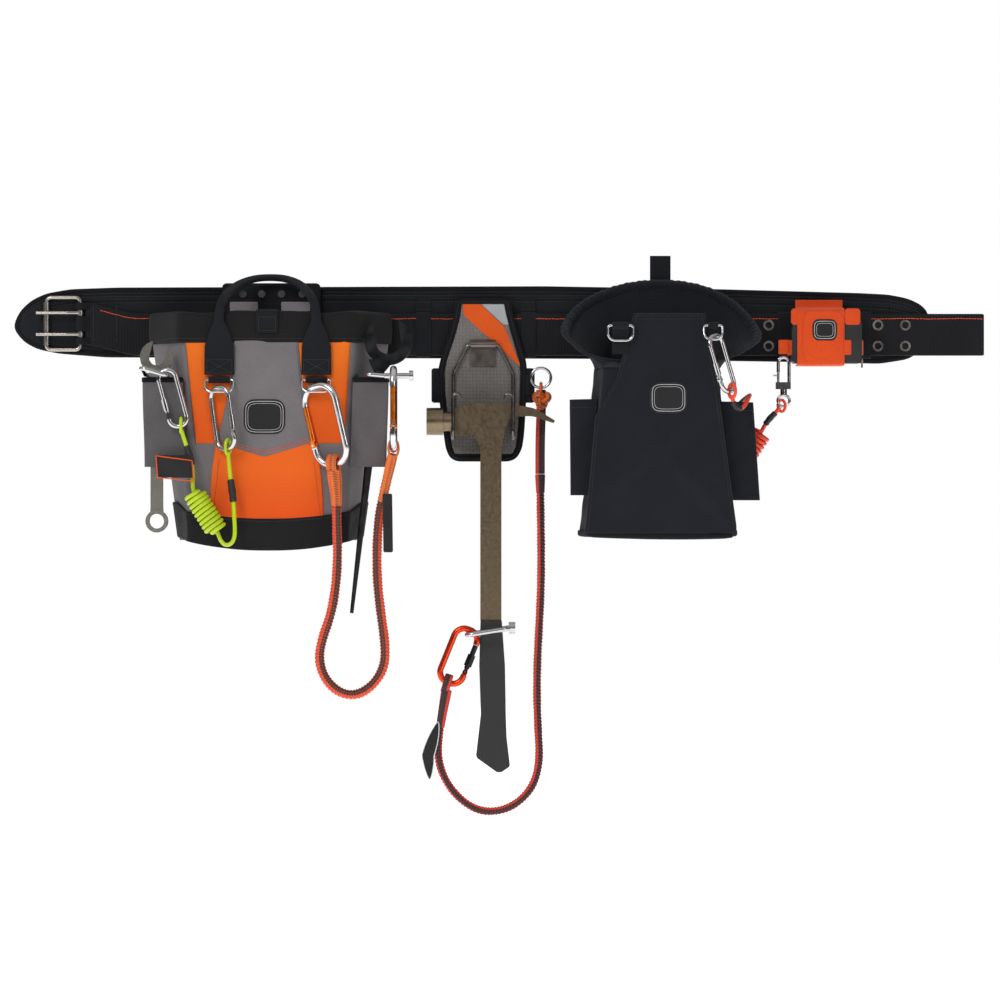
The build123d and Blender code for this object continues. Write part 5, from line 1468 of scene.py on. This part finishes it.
# ---- tape holder --------------------------------------------------------------------
@dataclass
class TapeHolder:
    """Tape measure in its orange harness."""

    x: float = 428.0
    z: float = -17.0

    def build(self) -> None:
        """Upright wrap with a rounded face, the level wrap, the trims, the backing and the loop for the hook."""
        wrap = softened([(420.5, -21.5, 17.2), (420.5, -62.6, 17.2), (420.5, -63.2, 10), (420.5, -63.2, -48),
                         (420.5, -62.4, -51.0),
                         (420.5, -21.5, -51.0)], 2, False, 1.5)
        upright = sweep(wrap, 28.5, 1.0, side=(1, 0, 0), count=30, power=6)
        top = softened([(420.5, -18.6, 28.4), (420.5, -20.4, 20), (420.5, -24, 17.6)], 2, False, 1.5)
        tall = sweep(top, 28.5, 1.0, side=(1, 0, 0), count=30, power=6)
        level = softened([(471.5, -22, -30), (471.5, -64.6, -30), (383.2, -64.6, -30), (383.2, -22, -30)], 2, False,
                         1.5)
        belt_wrap = sweep(level, 9.0, 1.0, side=(0, 0, 1), count=24, power=6)
        z = stations(-49, 14, 40)
        one = np.ones(40)
        face = panel(z, one * 398, one * 448, flat(-64.0), 1.3, edge=1.6, corner=12, rows=30)
        loop_path = softened([(383, -42, -29), (371, -42, -29), (371, -50, -29), (383, -50, -29)], 2, False, 1)
        hook_loop = sweep(loop_path, 8.5, 0.8, side=(0, 0, 1), count=16, power=5)
        ears = [panel(stations(-3, 17, 16), np.full(16, a), np.full(16, b), flat(-61.6), 1.6, edge=1.2, corner=4)
                for a, b in ((384.5, 399), (449, 468))]
        Shell.join([upright, tall, belt_wrap, face, hook_loop, *ears]).place(
            "tape_orange_harness", ORANGE_TAPE, "belt", "orange_trap", ("tape_trap",))
        backing = hoop(self.x - 0.5, 113, 14.0, -42.0, -11.6, -17.8, 1.4)
        backing.place("tape_belt_backing", BLACK_TAPE, "belt", "orange_trap")
        line = np.stack([oval(90, 3.2)[:, 0] * 22.5 + 423, np.full(90, -65.35), oval(90, 3.2)[:, 1] * 28 - 17.5], -1)
        stitches(resampled(line, 2, True), 3.0, 2.3, 0.3).place(
            "tape_harness_stitching", ORANGE_THREAD, "belt", "orange_trap")
        plain_patch("tape_plain_patch", 425, -9, 30, 26, flat(-65.2), "belt", "orange_trap")
        dress(PLASTIC, "tape_measure")
        dress(BLADE_STEEL, "tape_blade")
        dress(STEEL, "snap_hook", "snap_trigger")


def blended(piece: bpy.types.Object) -> bpy.types.Object:
    """Bakes the piece's world transform into its mesh."""
    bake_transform(piece)
    return piece


def tag(corners: list[tuple[float, float]], y: float, thick: float, ripple: float) -> Shell:
    """Soft label: a panel between a left and a right edge, rippled as a sine wave down its length."""
    (x0, z0), (x1, z1), (x2, z2), (x3, z3) = corners
    z = stations(min(z0, z3), max(z0, z3), 30)
    low = np.interp(z, [min(z0, z3), max(z0, z3)], [x3, x0] if z3 < z0 else [x0, x3])
    high = np.interp(z, [min(z1, z2), max(z1, z2)], [x2, x1] if z2 < z1 else [x1, x2])
    return panel(z, low, high, lambda px, pz: y + ripple * np.sin((px + pz) / 9.0), thick, edge=0.8, corner=1.5,
                 rows=14, both=True)


@dataclass
class Tethers:
    """The five free cords, with their end loops, ferrules, knot and labels."""

    def lime(self) -> None:
        """Lime coil cord between the pouch and the wrench."""
        cord = Tether("lime_coil_cord", LIME, "lime_cord", ("lime_lead_upper", "lime_coil", "lime_lead_lower"),
                      [(-345.8, -115.5, -130), (-342, -116, -142), (-337, -117, -156), (-333.2, -118, -170),
                       (-331.6, -119, -185), (-332.2, -120, -199), (-328, -120, -210.4), (-317, -120, -228),
                       (-306, -120, -245.6), (-301.5, -120, -254), (-299, -120, -261.5), (-293.5, -120, -267.5),
                       (-286.5, -120, -266.5), (-282, -120, -259), (-281.5, -119.8, -248), (-282.6, -119.5, -233),
                       (-283.4, -119, -216), (-285.5, -118, -199), (-288, -117, -181), (-290, -116, -156.4)],
                      5.0, coil=((-331.5, -120, -204), (-302.5, -120, -251.5), 10.0, 11.4))
        piece = blended(cord.mesh())
        total = cord.length()
        ferrules = Shell.join([sleeve_on(cord.path, 20, 44, 4.0), sleeve_on(cord.path, total - 60, total - 33, 4.3)])
        ferrule = blended(ferrules.place("lime_ferrules", SLEEVE_RUBBER, "", "black_rubber"))
        loops = Shell.join([eye((-346.2, -115.5, -124.5), 17, 9, (1, 0, 0), 4.0),
                            eye((-290.2, -116, -150.5), 18, 9, (-0.788, 0.616, 0), 4.0)])
        loop = blended(loops.place("lime_end_loops", LIME, "", "lime_cord"))
        label = tag([(-376, -160), (-332, -166), (-330, -192), (-374, -187)], -123, 0.6, 1.2)
        tagged = blended(label.place("lime_label", PATCH_CLOTH, "", "black_canvas"))
        edge = resampled(np.array([(-375.5, 0, -160.8), (-332.5, 0, -166.6), (-330.6, 0, -191.4), (-373.6, 0, -186.6)]),
                         1.5, True)
        edge[:, 1] = -123.6 + 1.2 * np.sin((edge[:, 0] + edge[:, 2]) / 9.0)
        bordered = blended(sweep(edge, 1.1, 0.7, side=(0, 1, 0), round_trip=True, count=10, power=3).place(
            "lime_label_border", ORANGE_TRIM, "", "orange_bungee"))

    def bungee(self) -> None:
        """Puckered bungee between the large carabiner and the spud wrench."""
        cord = Tether("orange_bungee_cord", BUNGEE, "orange_bungee", ("bungee_tether",),
                      [(-164, -116, -176.8), (-160.5, -117, -205), (-160.4, -118, -240), (-159, -118.5, -278),
                       (-161, -119, -315), (-167, -119, -350), (-178, -119, -380), (-182, -119, -405),
                       (-174, -119, -428), (-157, -119, -444), (-136, -119, -447), (-116, -118, -434),
                       (-103, -117, -412), (-102.5, -116, -385), (-107.5, -116, -350), (-112, -116, -312),
                       (-112.6, -116, -272), (-110, -116, -232), (-101, -116, -192), (-93, -116, -157.9)],
                      11.0, pucker=0.085, stiffness="medium")
        piece = blended(cord.mesh())
        total = cord.length()
        first = stretch_of(cord.path, 2, 44)
        last = stretch_of(cord.path, total - 60, total - 2)
        wide, narrow = (np.interp(np.linspace(0, 1, len(run)), [0, 0.2, 1], [8.4, 8.6, 6.2]) for run in (first, last))
        flats = [sweep(first, wide, 6.0, count=20, power=4),
                 sweep(last[::-1], narrow * 0.72, 6.0, count=20, power=4),
                 eye((-164.3, -116, -170.5), 20, 12, (0.857, -0.515, 0), 3.0, 7.0),
                 eye((-92.6, -116, -152.0), 22, 12, (0, 1, 0), 3.0, 6.0)]
        ends = blended(Shell.join(flats).place("bungee_webbing_ends", ORANGE_CORD, "", "orange_bungee"))
        label = tag([(-105.5, -206), (-94, -203), (-93, -273), (-104.5, -276)], -125, 0.6, 0.7)
        tagged = blended(label.place("bungee_label", PATCH_CLOTH, "", "black_canvas"))
        rows = []
        for shift in (-5.5, 5.5):
            line = first + (shift, -6.2, 0)
            rows.append(stitches(line[4:-4], 3.0, 2.2, 0.35))
        seams = Shell.join(rows).place("bungee_end_stitching", ORANGE_THREAD, "", "orange_bungee")
        seams = blended(seams)

    def lanyard(self) -> None:
        """Hammer lanyard: flat strap with its knot at the holster's ring, and the bungee down and up to the hammer."""
        strap = Tether("lanyard_flat_strap", RED_TAPE, "lanyard_cord", ("lanyard_strap",),
                       [(84, -25.3, -80.3), (84.5, -26, -103), (83.4, -27, -130), (82.9, -28, -156), (83, -28.2, -182)],
                       5.5, flat_width=11.5, stiffness="medium")
        piece = blended(strap.mesh())
        t = np.linspace(0, 2 * math.pi, 220, endpoint=False)
        knot = np.stack([np.sin(t) + 2 * np.sin(2 * t), -1.5 * np.sin(3 * t), np.cos(t) - 2 * np.cos(2 * t)], -1) * 3.1
        wrap = sweep(knot + (85, -27, -92), 4.0, 3.4, round_trip=True, count=14)
        loop = eye((84, -25.3, -80), 15, 9, (1, 0, 0), 4.0)
        tied = Shell.join([wrap, loop]).place("lanyard_knot", ORANGE_CORD, "holster", "lanyard_cord")
        cord = Tether("lanyard_bungee_cord", RED_BUNGEE, "lanyard_cord", ("lanyard_bungee",),
                      [(83, -28.2, -182.4), (83.6, -29, -226), (84.3, -30, -274), (84, -31, -320), (82, -32, -362),
                       (79.6, -33, -407), (79, -34, -451), (80.5, -36, -492), (82.5, -38, -527), (76, -42, -556),
                       (60, -46, -576), (38, -50, -588), (12, -55, -589), (-10, -60, -577), (-28, -64, -557),
                       (-39, -67, -532), (-40, -69, -505), (-36, -69, -477), (-29.5, -69, -441)],
                      9.5, pucker=0.085, stiffness="medium")
        line = blended(cord.mesh())
        total = cord.length()
        top = stretch_of(cord.path, 0.5, 22)
        low = stretch_of(cord.path, total - 46, total - 1)
        parts = [sweep(top, np.interp(np.linspace(0, 1, len(top)), [0, 1], [6.2, 5.2]), 5.2, count=18, power=3),
                 sweep(low, np.interp(np.linspace(0, 1, len(low)), [0, 1], [5.2, 6.4]), 5.2, count=18, power=3),
                 eye((-29.2, -69, -434), 20, 11, (-1, 0, 0.3), 3.4, 5.0)]
        ends = blended(Shell.join(parts).place("lanyard_webbing_ends", RED_TAPE, "", "lanyard_cord"))
        z = stations(-549, -480, 40)
        centre = np.interp(z, [-549, -520, -480], [-50, -52, -40])
        half = 7.5 * np.sin(math.pi * (z + 549.5) / 70) ** 0.7
        leaf = panel(z, centre - half, centre + half, lambda px, pz: -74 + 1.2 * np.sin(pz / 11), 0.6, edge=0.8,
                     rows=14, both=True)
        label = blended(leaf.place("lanyard_leaf_label", PATCH_CLOTH, "", "black_canvas"))
        rim = np.concatenate([np.stack([centre - half, -74.4 + 1.2 * np.sin(z / 11), z], -1),
                              np.stack([centre + half, -74.4 + 1.2 * np.sin(z / 11), z], -1)[::-1]])
        edge = sweep(resampled(rim, 1.5, True), 0.6, 0.6, side=(0, 1, 0), round_trip=True, count=8)
        border = blended(edge.place("lanyard_label_border", PALE_THREAD, "", "black_canvas"))

    def red(self) -> None:
        """Red coil cord between the bag's carabiner and the tape's hook."""
        cord = Tether("red_coil_cord", RED_COIL, "red_cord", ("red_lead_bag", "red_coil", "red_lead_tape"),
                      [(310.5, -144, -88.8), (311, -144.2, -97.5), (315.5, -142, -104.5), (322, -135.5, -105),
                       (327, -127, -99.5), (331, -116, -92), (333, -102, -88.5), (334, -86, -88), (331, -69, -90),
                       (324, -53, -96), (315, -42, -108), (309, -36.5, -126), (306.5, -35, -148), (305.8, -35.5, -168),
                       (307, -37, -181), (312.5, -39, -187.5), (319.5, -41, -182), (325, -42, -170.5),
                       (331, -42, -160.3), (338, -42, -149.5), (345, -42, -138.7), (350.5, -42, -130),
                       (355.3, -42.7, -121), (361.5, -43.7, -113.5), (367.3, -45, -108), (371.8, -46, -102.1)],
                      5.0, body="belt", coil=((326, -42, -168), (350, -42, -131), 8.0, 11.4))
        piece = cord.mesh()
        total = cord.length()
        sleeves = [sleeve_on(cord.path, total - 27, total - 8, 3.7), sleeve_on(cord.path, 8, 24, 3.7)]
        ferrule = Shell.join(sleeves).place(
            "red_ferrules", SLEEVE_RUBBER, "belt", "black_rubber")
        loops = Shell.join([eye((310.3, -144, -84.0), 17, 10, (0.643, 0.766, 0), 4.0),
                            eye((374, -46, -100), 14, 9, (0.2, 1, 0.1), 3.6)]).place(
            "red_end_loops", RED_COIL, "belt", "red_cord")

    def build(self) -> None:
        """Builds all the tethers."""
        self.lime()
        self.bungee()
        self.lanyard()
        self.red()


def main() -> None:
    """Builds the studio and then every sub-assembly in order."""
    logging.basicConfig(level=logging.INFO, format="%(name)s %(message)s")
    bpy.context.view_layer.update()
    Studio().build()
    for part in (Tethers(), Belt(), Pouch(), Holster(), BoltBag(), TapeHolder()):
        part.build()
        log.info("%s built", type(part).__name__)
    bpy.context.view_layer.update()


if __name__ == "__main__":
    main()
